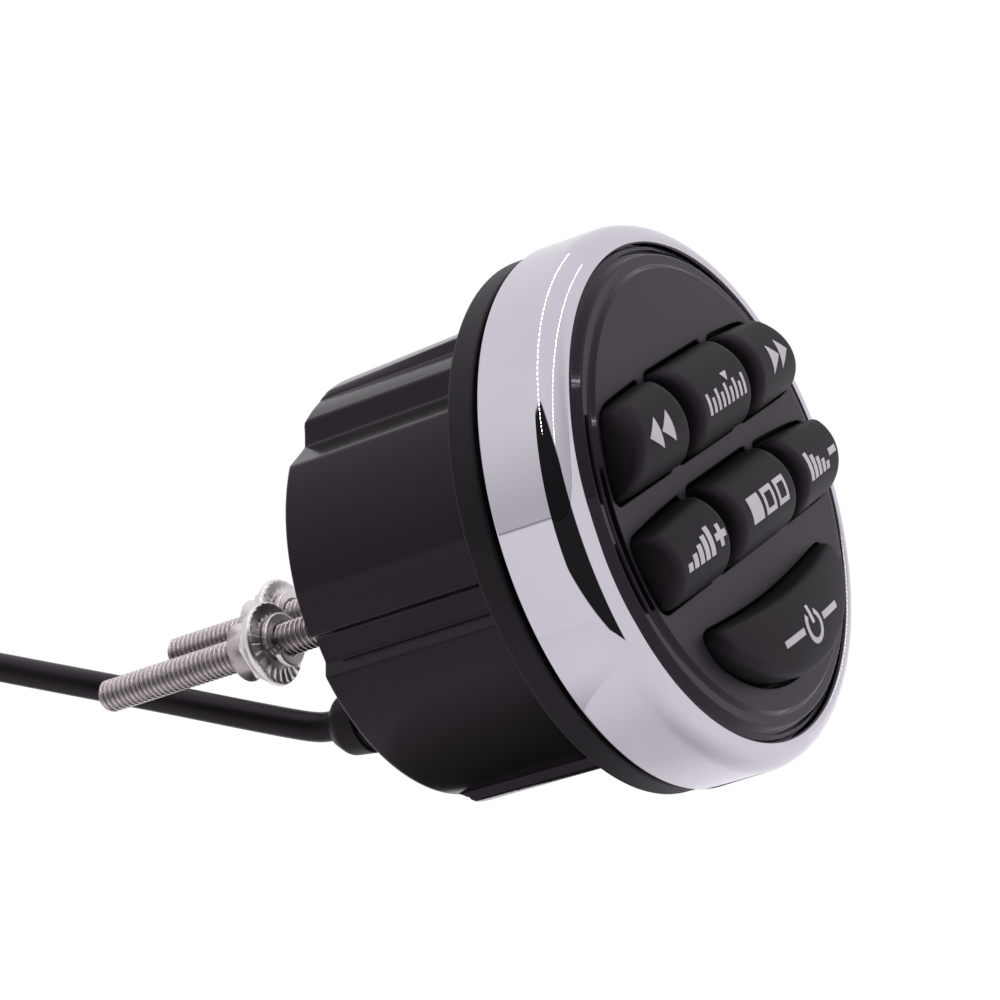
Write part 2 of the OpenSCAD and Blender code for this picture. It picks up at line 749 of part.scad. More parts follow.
module cable_gland() {
    root_r = gland_root_d / 2;
    tip_r = gland_tip_d / 2;
    tip_round = 2;
    taper_len = gland_len - tip_round;
    groove_pitch = taper_len / (gland_grooves + 2);
    color([0.13, 0.13, 0.14]) facing() translate([0, -gland_drop, 0]) rotate_extrude()
        difference() {
            polygon([[0, gland_end_n], [cable_d / 2 + 0.2, gland_end_n], [tip_r, gland_end_n + tip_round],
                     [root_r, can_rear_n], [gland_neck_d / 2, can_rear_n], [gland_neck_d / 2, gland_inner_n],
                     [0, gland_inner_n]]);
            for (k = [1 : gland_grooves])
                translate([tip_r + (root_r - tip_r) * k * groove_pitch / taper_len - 0.7,
                           gland_end_n + tip_round + k * groove_pitch - gland_groove_w])
                    square([root_r, gland_groove_w]);
        }
}

module gland_nut() {
    color([0.2, 0.2, 0.2]) facing() translate([0, -gland_drop, can_floor_n]) difference() {
        cylinder(d = gland_nut_flats / cos(30), h = gland_nut_t, $fn = 6);
        at_n(-over) cylinder(d = gland_neck_d + 2 * thread_fit, h = gland_nut_t + 2 * over);
    }
}

module cable_lead() {
    color([0.12, 0.12, 0.13]) tube(lead_path, cable_d, lead_sides, [0, 1, 0], [0, 0, -1]);
}

module cable_coil() {
    color([0.12, 0.12, 0.13]) tube(coil_path, cable_d, coil_sides, [0, 0, -1], [0, 0, -1]);
}

// Strap round the top of the coil
module cable_tie() {
    inside = [wind_pitch * (coil_layers - 1) + cable_d + 2 * seat_room,
              coil_r - coil_in_r + cable_d + 2 * seat_room];
    centre = coil_centre + [wind_pitch * (coil_layers - 1) / 2, 0, (coil_r + coil_in_r) / 2];
    color([0.08, 0.08, 0.08]) translate(centre) difference() {
        cube([inside[0] + 2 * tie_t, tie_w, inside[1] + 2 * tie_t], center = true);
        cube([inside[0], tie_w + 2 * over, inside[1]], center = true);
    }
}

module cable_plug() {
    neck = cable_d / 2 + 0.8;
    color([0.12, 0.12, 0.13]) translate(plug_at) rotate_extrude()
        polygon([[0, 0], [neck, 0], [neck + 0.6, -plug_len / 3], [plug_d / 2 - 0.8, -plug_len / 3],
                 [plug_d / 2, -plug_len / 3 - 1.5], [plug_d / 2, -plug_len + 0.8],
                 [plug_d / 2 - 0.8, -plug_len], [0, -plug_len]]);
}

module plug_shell() {
    color([0.75, 0.75, 0.76]) translate(plug_at - [0, 0, plug_len + plug_shell_len]) difference() {
        cylinder(d = plug_shell_d, h = plug_shell_len);
        at_n(-over) cylinder(d = plug_shell_d - 1.2, h = plug_shell_len + 2 * over);
    }
}

module plug_pins() {
    pin_len = plug_shell_len - 1.5;
    color([0.8, 0.65, 0.3]) translate(plug_at - [0, 0, plug_len + pin_len])
        for (i = [0 : pin_count - 1])
            rotate([0, 0, 360 * i / pin_count]) translate([plug_shell_d / 4, 0, 0])
                cylinder(d = 1, h = pin_len);
}

chrome_bezel();
panel_gasket();
rear_housing();
face_plate();
face_seal();
face_screws();
row_key(1, -1);  // key_skip_back
row_key(1, 0);  // key_band
row_key(1, 1);  // key_skip_forward
row_key(0, -1);  // key_volume_up
row_key(0, 0);  // key_mode
row_key(0, 1);  // key_volume_down
key_power();
pill(key_x(1, -1), key_y(1));  // pill_skip_back
pill(key_x(1, 0), key_y(1));  // pill_band
pill(key_x(1, 1), key_y(1));  // pill_skip_forward
pill(key_x(0, -1), key_y(0));  // pill_volume_up
pill(key_x(0, 0), key_y(0));  // pill_mode
pill(key_x(0, 1), key_y(0));  // pill_volume_down
pill(0, power_ridge_y);  // pill_power
keypad_mat();
circuit_board();
contact_pads();
controller_chip();
capacitors();
cable_header();
cable_tail_inside();
stud(-stud_spacing / 2);  // left_stud
stud(stud_spacing / 2);  // right_stud
spring_washer(-stud_spacing / 2, left_nut_n);  // left_spring_washer
spring_washer(stud_spacing / 2, right_nut_n);  // right_spring_washer
flange_nut(-stud_spacing / 2, left_nut_n);  // left_flange_nut
flange_nut(stud_spacing / 2, right_nut_n);  // right_flange_nut
cable_gland();
gland_nut();
cable_lead();
cable_coil();
cable_tie();
cable_plug();
plug_shell();
plug_pins();
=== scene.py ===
"""Looks of the marine stereo control head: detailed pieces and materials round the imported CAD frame.

Most pieces are drawn in the face frame (x to the right, y up, n out of the face, in millimetres), with the
panel's front surface at n = 0. The row frame follows from it as (x, -n, y) / 1000.
"""

import logging
import math
from dataclasses import dataclass
from enum import Enum
from typing import Callable, Optional, Sequence

import bmesh
import bpy
import numpy as np
from mathutils import Matrix, Vector
from mathutils.geometry import tessellate_polygon


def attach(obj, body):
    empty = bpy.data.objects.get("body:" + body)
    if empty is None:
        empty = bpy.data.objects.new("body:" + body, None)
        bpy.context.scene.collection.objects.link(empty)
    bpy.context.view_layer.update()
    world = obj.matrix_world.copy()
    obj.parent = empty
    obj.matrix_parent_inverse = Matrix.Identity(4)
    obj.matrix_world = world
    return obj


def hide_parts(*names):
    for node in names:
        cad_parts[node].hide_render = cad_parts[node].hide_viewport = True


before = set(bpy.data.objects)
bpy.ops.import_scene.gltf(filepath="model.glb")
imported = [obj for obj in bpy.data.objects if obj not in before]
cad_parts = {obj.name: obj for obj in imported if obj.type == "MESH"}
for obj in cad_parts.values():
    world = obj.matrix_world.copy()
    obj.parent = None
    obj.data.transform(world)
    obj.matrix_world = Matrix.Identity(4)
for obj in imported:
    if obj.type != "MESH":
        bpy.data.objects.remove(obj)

LOG = logging.getLogger("marine_stereo")
MM = 0.001
Array = np.ndarray
Pair = tuple[float, float]
Triple = tuple[float, float, float]


class Slot(Enum):
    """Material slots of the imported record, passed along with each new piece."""

    BEZEL = "bright_bezel"
    RUBBER = "seal_rubber"
    CAN = "can_plastic"
    FACE = "face_plastic"
    KEY = "key_plastic"
    STEEL = "steel"
    CABLE = "cable_pvc"
    TIE = "tie_nylon"
    PLUG = "plug_metal"


class Zone(Enum):
    """Region of a piece that takes the second colour of its finish."""

    NONE = "none"
    FIELD = "field"
    THREAD = "thread"
    TRACES = "traces"


class Side(Enum):
    """Place of a piece to the left, in the middle or to the right."""

    LEFT = -1
    MIDDLE = 0
    RIGHT = 1


# Shader graphs

WHITE = (1.0, 1.0, 1.0, 1.0)


class Wire:
    """Output socket that takes part in arithmetic; each operator adds one Math node."""

    def __init__(self, graph: "Graph", socket: bpy.types.NodeSocket) -> None:
        """Holds the socket and the graph that it belongs to."""
        self.graph = graph
        self.socket = socket

    def __add__(self, other: "Wire | float") -> "Wire":
        """Sum of wire and other."""
        return self.graph.math("ADD", self, other)

    def __radd__(self, other: float) -> "Wire":
        """Sum of number and wire."""
        return self.graph.math("ADD", other, self)

    def __sub__(self, other: "Wire | float") -> "Wire":
        """Wire less other."""
        return self.graph.math("SUBTRACT", self, other)

    def __rsub__(self, other: float) -> "Wire":
        """Number less wire."""
        return self.graph.math("SUBTRACT", other, self)

    def __mul__(self, other: "Wire | float") -> "Wire":
        """Wire times other."""
        return self.graph.math("MULTIPLY", self, other)

    def __rmul__(self, other: float) -> "Wire":
        """Number times wire."""
        return self.graph.math("MULTIPLY", other, self)

    def __truediv__(self, other: "Wire | float") -> "Wire":
        """Wire divided by other."""
        return self.graph.math("DIVIDE", self, other)

    def __rtruediv__(self, other: float) -> "Wire":
        """Number divided by wire."""
        return self.graph.math("DIVIDE", other, self)

    def __pow__(self, other: "Wire | float") -> "Wire":
        """Wire to the power of other."""
        return self.graph.math("POWER", self, other)

    def __rpow__(self, other: float) -> "Wire":
        """Number to the power of wire."""
        return self.graph.math("POWER", other, self)

    def step(self, low: float, high: float) -> "Wire":
        """Smooth step 3 t^2 - 2 t^3, where t is the share of the way from low to high."""
        sockets = {"Value": self, "From Min": low, "From Max": high}
        return self.graph.out("ShaderNodeMapRange", 0, {"interpolation_type": "SMOOTHSTEP"}, sockets)

    def edge(self, place: float, soft: float) -> "Wire":
        """Smooth step that starts a soft width before a place and ends as far behind it."""
        return self.step(place - soft, place + soft)


class Graph:
    """Node tree that is filled by one generic method."""

    def __init__(self, tree: bpy.types.NodeTree) -> None:
        """Takes over a tree and empties it."""
        self.tree = tree
        self.tree.nodes.clear()

    def node(self, kind: str, settings: Optional[dict] = None,
             sockets: Optional[dict] = None) -> bpy.types.Node:
        """Adds a node.

        Args:
            kind: Type of the node.
            settings: Properties to set on it.
            sockets: Inputs by name or number, each a wire to link or a value to set.

        Returns:
            The new node.
        """
        made = self.tree.nodes.new(kind)
        for name, value in (settings or {}).items():
            setattr(made, name, value)
        for name, value in (sockets or {}).items():
            if isinstance(value, Wire):
                self.tree.links.new(value.socket, made.inputs[name])
            else:
                made.inputs[name].default_value = value
        return made

    def out(self, kind: str, output: int | str, settings: Optional[dict] = None,
            sockets: Optional[dict] = None) -> Wire:
        """Adds a node as node() does, and returns one of its outputs as a wire."""
        return Wire(self, self.node(kind, settings, sockets).outputs[output])

    def math(self, operation: str, *parts: "Wire | float") -> Wire:
        """Adds a Math node of that operation on the parts."""
        return self.out("ShaderNodeMath", 0, {"operation": operation}, dict(enumerate(parts)))

    def mix(self, share: Wire, first: Sequence[float] | Wire, second: Sequence[float] | Wire) -> Wire:
        """Colour that goes from first to second as share goes from 0 to 1."""
        return self.out("ShaderNodeMix", 2, {"data_type": "RGBA"}, {0: share, 6: first, 7: second})

    def noise(self, place: Wire, scale: float, detail: float) -> Wire:
        """Noise value from 0 to 1 with that many features to the metre."""
        return self.out("ShaderNodeTexNoise", 0, None, {"Vector": place, "Scale": scale, "Detail": detail})

    def axes(self, place: Wire) -> list[Wire]:
        """Parts of a vector along x, y and z."""
        parts = self.node("ShaderNodeSeparateXYZ", None, {0: place}).outputs
        return [Wire(self, part) for part in parts]

    def white_to_camera(self, shader: Wire, kind: str) -> Wire:
        """Shader that only the camera sees as plain white.

        Args:
            shader: What all other rays meet.
            kind: Type of the node that gives the white.

        Returns:
            The mixed shader.
        """
        white = self.out(kind, 0, None, {"Color": WHITE, "Strength": 1.0})
        seen = self.out("ShaderNodeLightPath", "Is Camera Ray")
        return self.out("ShaderNodeMixShader", 0, None, {0: seen, 1: shader, 2: white})


def blank(name: str) -> tuple[bpy.types.Material, Graph]:
    """Makes a material that has no nodes yet.

    Args:
        name: Name of the material.

    Returns:
        The material and its graph.
    """
    made = bpy.data.materials.new(name)
    made.use_nodes = True
    return made, Graph(made.node_tree)


# Finishes

# Where the second colours set in and are full: radius and level of the field, radius round a stud's axis, in
# metres, and the height of the traces' two waves. Then detail and span of patches and grain.
FIELD_EDGE = (0.02522, 0.0253)
FIELD_LEVEL = (0.015, 0.01506)
STUD_ASIDE = 0.008
THREAD_DEPTH = (0.00166, 0.00192)
TRACE_WAVES = (2600.0, 1900.0)
TRACE_CREST = (1.2, 1.35)
PATCH_DETAIL = 3.0
PATCH_SPAN = (0.3, 0.7)
GRAIN_DETAIL = 2.0
GRAIN_BUMP = 0.6


@dataclass(frozen=True)
class Finish:
    """Look of one material.

    Attributes:
        name: Name of the material.
        colour: Base colour, linear.
        roughness: Mean roughness.
        metallic: 1 on bare metal.
        mottle: Share by which broad patches lighten and darken the colour.
        patch: Patches to the metre.
        wander: How far the roughness strays from its mean.
        grain: Grains of the surface texture to the metre.
        relief: Height of the grain in metres.
        stretch: Scale of the grain along x, y and z, so that a drawn surface has streaks.
        specular: Specular level.
        zone: Region that takes the second colour and roughness.
        second: Base colour in that region.
        second_roughness: Roughness in that region.
        tint: Colour of the mirrored light on plastic.
    """

    name: str
    colour: Triple
    roughness: float
    metallic: float = 0.0
    mottle: float = 0.1
    patch: float = 150.0
    wander: float = 0.08
    grain: float = 4000.0
    relief: float = 2e-6
    stretch: Triple = (1.0, 1.0, 1.0)
    specular: float = 0.5
    zone: Zone = Zone.NONE
    second: Triple = (0.0, 0.0, 0.0)
    second_roughness: float = 0.5
    tint: Triple = (1.0, 1.0, 1.0)

    def region(self, graph: Graph, place: Wire) -> Optional[Wire]:
        """Share of the second colour at a place of the piece.

        The field is what lies inside its circle and at its level. The thread's roots are what lies near the
        stud's axis, sqrt((|x| - aside)^2 + z^2). The traces are thin lines where two waves pass their crest.

        Args:
            graph: Graph of the material.
            place: Object coordinates.

        Returns:
            The share from 0 to 1, or None where the finish has one zone.
        """
        if self.zone is Zone.NONE:
            return None
        x, y, z = graph.axes(place)
        if self.zone is Zone.FIELD:
            radius = (x * x + z * z) ** 0.5
            return (1.0 - radius.step(*FIELD_EDGE)) * (0.0 - y).step(*FIELD_LEVEL)
        if self.zone is Zone.THREAD:
            aside = graph.math("ABSOLUTE", x) - STUD_ASIDE
            return 1.0 - ((aside * aside + z * z) ** 0.5).step(*THREAD_DEPTH)
        wave = graph.math("SINE", x * TRACE_WAVES[0]) + graph.math("SINE", z * TRACE_WAVES[1])
        return wave.step(*TRACE_CREST)

    def material(self) -> bpy.types.Material:
        """Makes the material once and returns it.

        The colour runs between darker and lighter patches, the roughness follows patches and grain, and the
        grain also lifts the surface through a bump.

        Returns:
            The Blender material.
        """
        name = "look_" + self.name
        known = bpy.data.materials.get(name)
        if known:
            return known
        made, graph = blank(name)
        place = graph.out("ShaderNodeTexCoord", "Object")
        drawn = graph.out("ShaderNodeMapping", 0, None, {"Vector": place, "Scale": self.stretch})
        patches = graph.noise(place, self.patch, PATCH_DETAIL)
        grain = graph.noise(drawn, self.grain, GRAIN_DETAIL)
        dark = (*(c * (1.0 - self.mottle) for c in self.colour), 1.0)
        light = (*(min(1.0, c * (1.0 + self.mottle)) for c in self.colour), 1.0)
        colour = graph.mix(patches.step(*PATCH_SPAN), dark, light)
        roughness = self.roughness + (patches - 0.5) * self.wander + (grain - 0.5) * self.wander
        share = self.region(graph, place)
        if share is not None:
            colour = graph.mix(share, colour, (*self.second, 1.0))
            roughness = roughness + share * (self.second_roughness - self.roughness)
        lift = {"Height": grain, "Strength": GRAIN_BUMP, "Distance": self.relief}
        sockets = {"Base Color": colour, "Roughness": roughness, "Metallic": self.metallic,
                   "Normal": graph.out("ShaderNodeBump", 0, None, lift), "Specular IOR Level": self.specular,
                   "Specular Tint": (*self.tint, 1.0)}
        shader = graph.out("ShaderNodeBsdfPrincipled", 0, None, sockets)
        graph.node("ShaderNodeOutputMaterial", None, {0: shader})
        return made


PLUM = (1.0, 0.82, 1.0)
CHROME = Finish("chrome_plate", (0.64, 0.62, 0.67), 0.03, metallic=1.0, mottle=0.02, patch=60.0,
                wander=0.015, grain=900.0, relief=8e-7, stretch=(1.0, 0.3, 1.0))
RUBBER = Finish("gasket_rubber", (0.012, 0.0112, 0.0128), 0.5, mottle=0.15, patch=120.0, grain=5000.0,
                relief=1.5e-5, specular=0.22, tint=PLUM)
CAN = Finish("can_plastic", (0.0062, 0.0046, 0.0064), 0.15, mottle=0.15, patch=80.0, wander=0.06,
             grain=7000.0, stretch=(1.0, 0.35, 1.0), specular=0.27, tint=PLUM)
FACE = Finish("face_plastic", (0.003, 0.0022, 0.0033), 0.05, patch=80.0, wander=0.02, grain=6000.0,
              relief=1e-6, specular=0.34, zone=Zone.FIELD, second=(0.013, 0.0115, 0.014),
              second_roughness=0.42, tint=PLUM)
KEY = Finish("key_silicone", (0.0054, 0.0048, 0.0059), 0.56, mottle=0.15, grain=9000.0, relief=5e-6,
             specular=0.26, tint=PLUM)
LEGEND = Finish("legend_print", (0.60, 0.58, 0.61), 0.55, mottle=0.04, patch=200.0, wander=0.05, grain=9000.0)
# The thread's roots, near the stud's axis, take a darker and duller colour than the crests.
STEEL = Finish("stainless_steel", (0.62, 0.57, 0.555), 0.26, metallic=1.0, mottle=0.06, patch=300.0,
               wander=0.1, grain=2500.0, stretch=(1.0, 6.0, 1.0), zone=Zone.THREAD,
               second=(0.42, 0.375, 0.365), second_roughness=0.42)
BRIGHT_STEEL = Finish("plated_steel", (0.8, 0.765, 0.76), 0.32, metallic=1.0, mottle=0.05, patch=300.0,
                      grain=3000.0)
CABLE = Finish("cable_pvc", (0.0075, 0.007, 0.008), 0.36, mottle=0.15, patch=120.0, grain=5000.0, relief=6e-6,
               specular=0.2, tint=PLUM)
GLAND = Finish("gland_rubber", (0.0065, 0.006, 0.007), 0.46, mottle=0.15, grain=6000.0, relief=8e-6,
               specular=0.2, tint=PLUM)
TIE = Finish("tie_nylon", (0.02, 0.02, 0.021), 0.4, grain=3000.0, relief=1e-5)
NICKEL = Finish("nickel_plate", (0.66, 0.63, 0.59), 0.2, metallic=1.0, mottle=0.05, patch=200.0, grain=3000.0)
GOLD = Finish("contact_gold", (0.83, 0.60, 0.22), 0.25, metallic=1.0, mottle=0.06, patch=300.0)
SILICONE = Finish("mat_silicone", (0.10, 0.10, 0.11), 0.62, patch=100.0, wander=0.06, relief=1e-5)
CARBON = Finish("carbon_pill", (0.018, 0.018, 0.019), 0.7, mottle=0.2, patch=600.0, grain=6000.0, relief=1e-5)
BOARD = Finish("board_mask", (0.012, 0.10, 0.045), 0.32, patch=100.0, wander=0.06, relief=4e-6,
               zone=Zone.TRACES, second=(0.03, 0.19, 0.08), second_roughness=0.28)
CHIP = Finish("chip_epoxy", (0.022, 0.022, 0.024), 0.58, patch=200.0, wander=0.06, grain=8000.0, relief=1e-5)
ALUMINIUM = Finish("sleeve_aluminium", (0.64, 0.64, 0.66), 0.3, metallic=1.0, mottle=0.05, patch=200.0,
                   grain=2500.0, stretch=(1.0, 4.0, 1.0))
NYLON = Finish("header_nylon", (0.62, 0.59, 0.50), 0.46, mottle=0.06, wander=0.06, relief=6e-6)


# Shapes

# Share of a side that an arc may take, half angle from which a corner is straight, distance of the points
# beside an arc with its share of the arc, and distance in metres at which points are joined.
ROOM = 0.47
STRAIGHT = 1.55
HOLD = (0.05, 0.2)
MERGE = 2e-7


def to_row(points: Array) -> Array:
    """Points of the face frame in the row frame, in metres: (x, y, n) becomes (x, -n, y) / 1000."""
    x, y, n = np.moveaxis(np.asarray(points, dtype=float), -1, 0)
    return np.stack([x, -n, y], axis=-1) * MM


def at_level(flat: Array, level: Array | float) -> Array:
    """Points of two columns with a level as their third."""
    return np.column_stack([flat, np.broadcast_to(level, len(flat))])


def turn(count: int) -> Array:
    """Angles of one full turn in that many equal parts, without the last."""
    return np.arange(count) * (2.0 * np.pi / count)


def polar(radius: Array, angles: Array, level: Array) -> Array:
    """Points (r cos t, r sin t, n) of radii, angles and levels that are spread against each other."""
    spots = np.broadcast_arrays(radius * np.cos(angles), radius * np.sin(angles), level)
    return np.stack(spots, axis=-1)


def lathe(profile: Sequence[Sequence[float]] | Array, sides: int) -> Array:
    """Rows of points round the axis n, from the radius and level of each row, with that many to a row."""
    table = np.asarray(profile, dtype=float)
    return polar(table[:, :1], turn(sides), table[:, 1:])


def chord(radius: float, x: float) -> float:
    """Height of a circle round the axis at a place to the right."""
    return math.sqrt(radius * radius - x * x)


def bearing(x: float, y: float) -> float:
    """Direction of a point from the axis, in degrees."""
    return math.degrees(math.atan2(y, x))


def meet(x: float, y: float, way: float, radius: float) -> Pair:
    """Point where a line meets a circle round the axis.

    From the start p along the direction u, the run is sqrt((p.u)^2 - p.p + R^2) - p.u.

    Args:
        x: Start of the line, to the right.
        y: Start of the line, upwards.
        way: Direction of the line in degrees.
        radius: Radius R of the circle.

    Returns:
        The point.
    """
    across, up = math.cos(math.radians(way)), math.sin(math.radians(way))
    near = x * across + y * up
    run = math.sqrt(near * near - x * x - y * y + radius * radius) - near
    return x + run * across, y + run * up


def arc(radius: float, start: float, end: float, pitch: float = 2.0) -> list[Triple]:
    """Sharp corners on a circle round the axis, without both ends.

    Args:
        radius: Radius of the circle.
        start: Angle of the first end, in degrees.
        end: Angle of the last end, in degrees.
        pitch: Rough angle between two corners, in degrees.

    Returns:
        The corners, as rounded() takes them.
    """
    count = max(2, int(abs(end - start) / pitch))
    angles = np.radians(np.linspace(start, end, count + 1)[1:-1])
    return list(zip(radius * np.cos(angles), radius * np.sin(angles), np.zeros(len(angles))))


def rounded(corners: Sequence[Sequence[float]], closed: bool, steps: int) -> Array:
    """Line through corners, each replaced by an arc that touches both of its sides.

    The arc of radius r in a corner of angle a starts r / tan(a / 2) from the corner, and its centre lies
    r / sin(a / 2) away along the bisector. A point just outside each arc keeps the sides flat in shading.

    Args:
        corners: Place of each corner in order, with the radius of its arc, or 0 for a sharp one.
        closed: Whether the last corner joins the first.
        steps: Parts of each arc.

    Returns:
        The points as an array of two columns.
    """
    table = np.asarray(corners, dtype=float)
    spots = table[:, :2]
    line: list[Array] = []
    for i, (spot, radius) in enumerate(zip(spots, table[:, 2])):
        inner = closed or 0 < i < len(spots) - 1
        if radius <= 0 or not inner:
            line.append(spot[None])
            continue
        before, after = spots[i - 1] - spot, spots[(i + 1) % len(spots)] - spot
        room = ROOM * min(np.linalg.norm(before), np.linalg.norm(after))
        before, after = before / np.linalg.norm(before), after / np.linalg.norm(after)
        half = 0.5 * math.acos(float(np.clip(before @ after, -1.0, 1.0)))
        if half > STRAIGHT:
            line.append(spot[None])
            continue
        away = min(radius / math.tan(half), room)
        size = away * math.tan(half)
        centre = spot + (before + after) / np.linalg.norm(before + after) * (size / math.sin(half))
        first, last = spot + before * away - centre, spot + after * away - centre
        sweep = math.pi - 2.0 * half
        share = np.linspace(0.0, 1.0, steps + 1)[:, None]
        bow = (np.sin((1.0 - share) * sweep) * first + np.sin(share * sweep) * last) / math.sin(sweep)
        hold = min(HOLD[0], HOLD[1] * away)
        line += [(spot + before * (away + hold))[None], centre + bow, (spot + after * (away + hold))[None]]
    return np.concatenate(line)


def bar(low: Pair, high: Pair, fillet: float, steps: int) -> Array:
    """Upright rectangle with round corners, from its lower left corner to the right."""
    corners = [low, (high[0], low[1]), high, (low[0], high[1])]
    return rounded([(*corner, fillet) for corner in corners], True, steps)


def tube(path: Array, radius: float, sides: int) -> Array:
    """Rows of points round a path that never runs along x.

    Each ring lies square to the path's direction t, on u = x-axis cross t and w = t cross u. The first and
    last rings shrink to the path, which closes the ends.

    Args:
        path: Points of the centre line in metres.
        radius: Radius in metres.
        sides: Points in a ring.

    Returns:
        The grid of points in metres.
    """
    along = np.gradient(path, axis=0)
    along /= np.linalg.norm(along, axis=1, keepdims=True)
    first = np.cross([1.0, 0.0, 0.0], along)
    first /= np.linalg.norm(first, axis=1, keepdims=True)
    second = np.cross(along, first)
    angles = turn(sides)[None, :, None]
    rows = path[:, None] + radius * (np.cos(angles) * first[:, None] + np.sin(angles) * second[:, None])
    heads = [np.repeat(path[i][None, None], sides, axis=1) for i in (0, -1)]
    return np.concatenate([heads[0], rows, heads[1]])


class Shell:
    """Mesh in the making: grids of points that become one closed surface."""

    def __init__(self) -> None:
        """Starts without points and faces."""
        self.points: list[Array] = []
        self.faces: list[list[int]] = []
        self.kinds: list[int] = []
        self.count = 0

    def add(self, points: Array, faces: Array, kind: int = 0) -> None:
        """Adds points and the faces between them.

        Args:
            points: Points in metres.
            faces: Numbers of each face's points, from 0.
            kind: Number of the material.
        """
        flat = np.asarray(points, dtype=float).reshape(-1, 3)
        self.points.append(flat)
        self.faces += (np.asarray(faces, dtype=int) + self.count).tolist()
        self.kinds += [kind] * len(faces)
        self.count += len(flat)

    def grid(self, points: Array, wrap: bool = True, close: bool = False, kind: int = 0) -> "Shell":
        """Adds a grid of quads.

        Args:
            points: Rows of points in metres.
            wrap: Whether the last column joins the first.
            close: Whether the last row joins the first.
            kind: Number of the material.

        Returns:
            The shell itself.
        """
        rows, columns = points.shape[:2]
        index = np.arange(rows * columns).reshape(rows, columns)
        if wrap:
            index = np.concatenate([index, index[:, :1]], axis=1)
        if close:
            index = np.concatenate([index, index[:1]], axis=0)
        quads = np.stack([index[:-1, :-1], index[:-1, 1:], index[1:, 1:], index[1:, :-1]], axis=-1)
        self.add(points, quads.reshape(-1, 4), kind)
        return self

    def ends(self, *rings: Array) -> "Shell":
        """Adds rings of points.

        Args:
            rings: Rings of points in metres, each closed with one flat face.

        Returns:
            The shell itself.
        """
        for ring in rings:
            self.add(ring, np.arange(len(ring))[None])
        return self

    def build(self, name: str, crease: float = 35.0) -> bpy.types.Object:
        """Makes the object: coinciding points are joined, so poles and seams close, and faces look outwards.

        Args:
            name: Name of the object.
            crease: Edges that bend by more than this, in degrees, stay sharp.

        Returns:
            The object, linked to the scene at the origin.
        """
        mesh = bpy.data.meshes.new(name)
        mesh.from_pydata(np.concatenate(self.points).tolist(), [], self.faces)
        mesh.polygons.foreach_set("material_index", self.kinds)
        shape = bmesh.new()
        shape.from_mesh(mesh)
        bmesh.ops.remove_doubles(shape, verts=shape.verts, dist=MERGE)
        bmesh.ops.recalc_face_normals(shape, faces=shape.faces)
        shape.to_mesh(mesh)
        shape.free()
        mesh.shade_smooth()
        mesh.set_sharp_from_angle(angle=math.radians(crease))
        made = bpy.data.objects.new(name, mesh)
        bpy.context.scene.collection.objects.link(made)
        return made


def adopt(made: bpy.types.Object, body: str, slot: Slot, finishes: Sequence[Finish],
          *nodes: str) -> bpy.types.Object:
    """Hangs a piece on its body and gives it its finish.

    Args:
        made: The piece.
        body: CAD body that it rides on.
        slot: Material slot of the record; not used.
        finishes: Finishes in the order of the mesh's material numbers.
        nodes: CAD nodes that it stands for.

    Returns:
        The piece.
    """
    for finish in finishes:
        made.data.materials.append(finish.material())
    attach(made, body)
    if nodes:
        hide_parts(*nodes)
    LOG.info("%s: %d faces", made.name, len(made.data.polygons))
    return made


# Ring, gasket and can


@dataclass(frozen=True)
class Bezel:
    """Bright ring and the gasket behind it."""

    radius: float = 31.5
    rear: float = 4.2
    front: float = 14.2
    inside: float = 30.3
    lip: float = 12.4
    shoulder: float = 3.6
    shoulder_end: float = 66.0
    roll: float = 0.51
    taper: float = 0.15
    wall_start: float = 13.2
    side_hold: float = 0.3
    bow_points: int = 33
    gasket_inner: float = 26.4
    gasket_outer: float = 31.07
    gasket_depth: float = 3.3
    gasket_rounds: Pair = (0.2, 0.35)

    def section(self) -> Array:
        """Closed section of the ring: a drawn-in side, a wide shoulder and a small roll into the opening.

        The roll's centre lies on the shoulder's last normal, at the roll's radius from its end, and the
        shoulder's centre follows from where the roll has to meet the front.

        Returns:
            Radius and level of the points.
        """
        end = math.radians(self.shoulder_end)
        reach = self.shoulder - self.roll
        side = self.radius - self.taper
        centre = side - self.shoulder
        start = self.front - self.roll - reach * math.sin(end)
        bows = [(centre, start, self.shoulder, 0.0, self.shoulder_end),
                (centre + reach * math.cos(end), self.front - self.roll, self.roll, self.shoulder_end, 180.0)]
        front = []
        for radius, level, size, first, last in bows:
            angles = np.radians(np.linspace(first, last, self.bow_points))
            front.append(np.column_stack([radius + size * np.cos(angles), level + size * np.sin(angles)]))
        wall = front[-1][-1, 0]
        rear = rounded([(wall, self.wall_start, 0.0), (wall, self.lip, 0.15), (self.inside, self.lip, 0.4),
                        (self.inside, self.rear, 0.2), (self.radius, self.rear, 0.25),
                        (side, start - self.side_hold, 0.0)], False, 6)
        return np.concatenate([front[0], front[1][1:], rear])

    def build(self) -> None:
        """Turns the ring and the gasket."""
        shell = Shell().grid(to_row(lathe(self.section(), 360)), close=True)
        adopt(shell.build("bright_ring"), "head", Slot.BEZEL, [CHROME], "chrome_bezel")
        inner, outer = self.gasket_rounds
        profile = rounded([(self.gasket_inner, 0.0, inner), (self.gasket_outer, 0.0, outer),
                           (self.gasket_outer, self.gasket_depth, outer),
                           (self.gasket_inner, self.gasket_depth, inner)], True, 6)
        shell = Shell().grid(to_row(lathe(profile, 256)), close=True)
        adopt(shell.build("gasket_ring"), "head", Slot.RUBBER, [RUBBER], "panel_gasket")


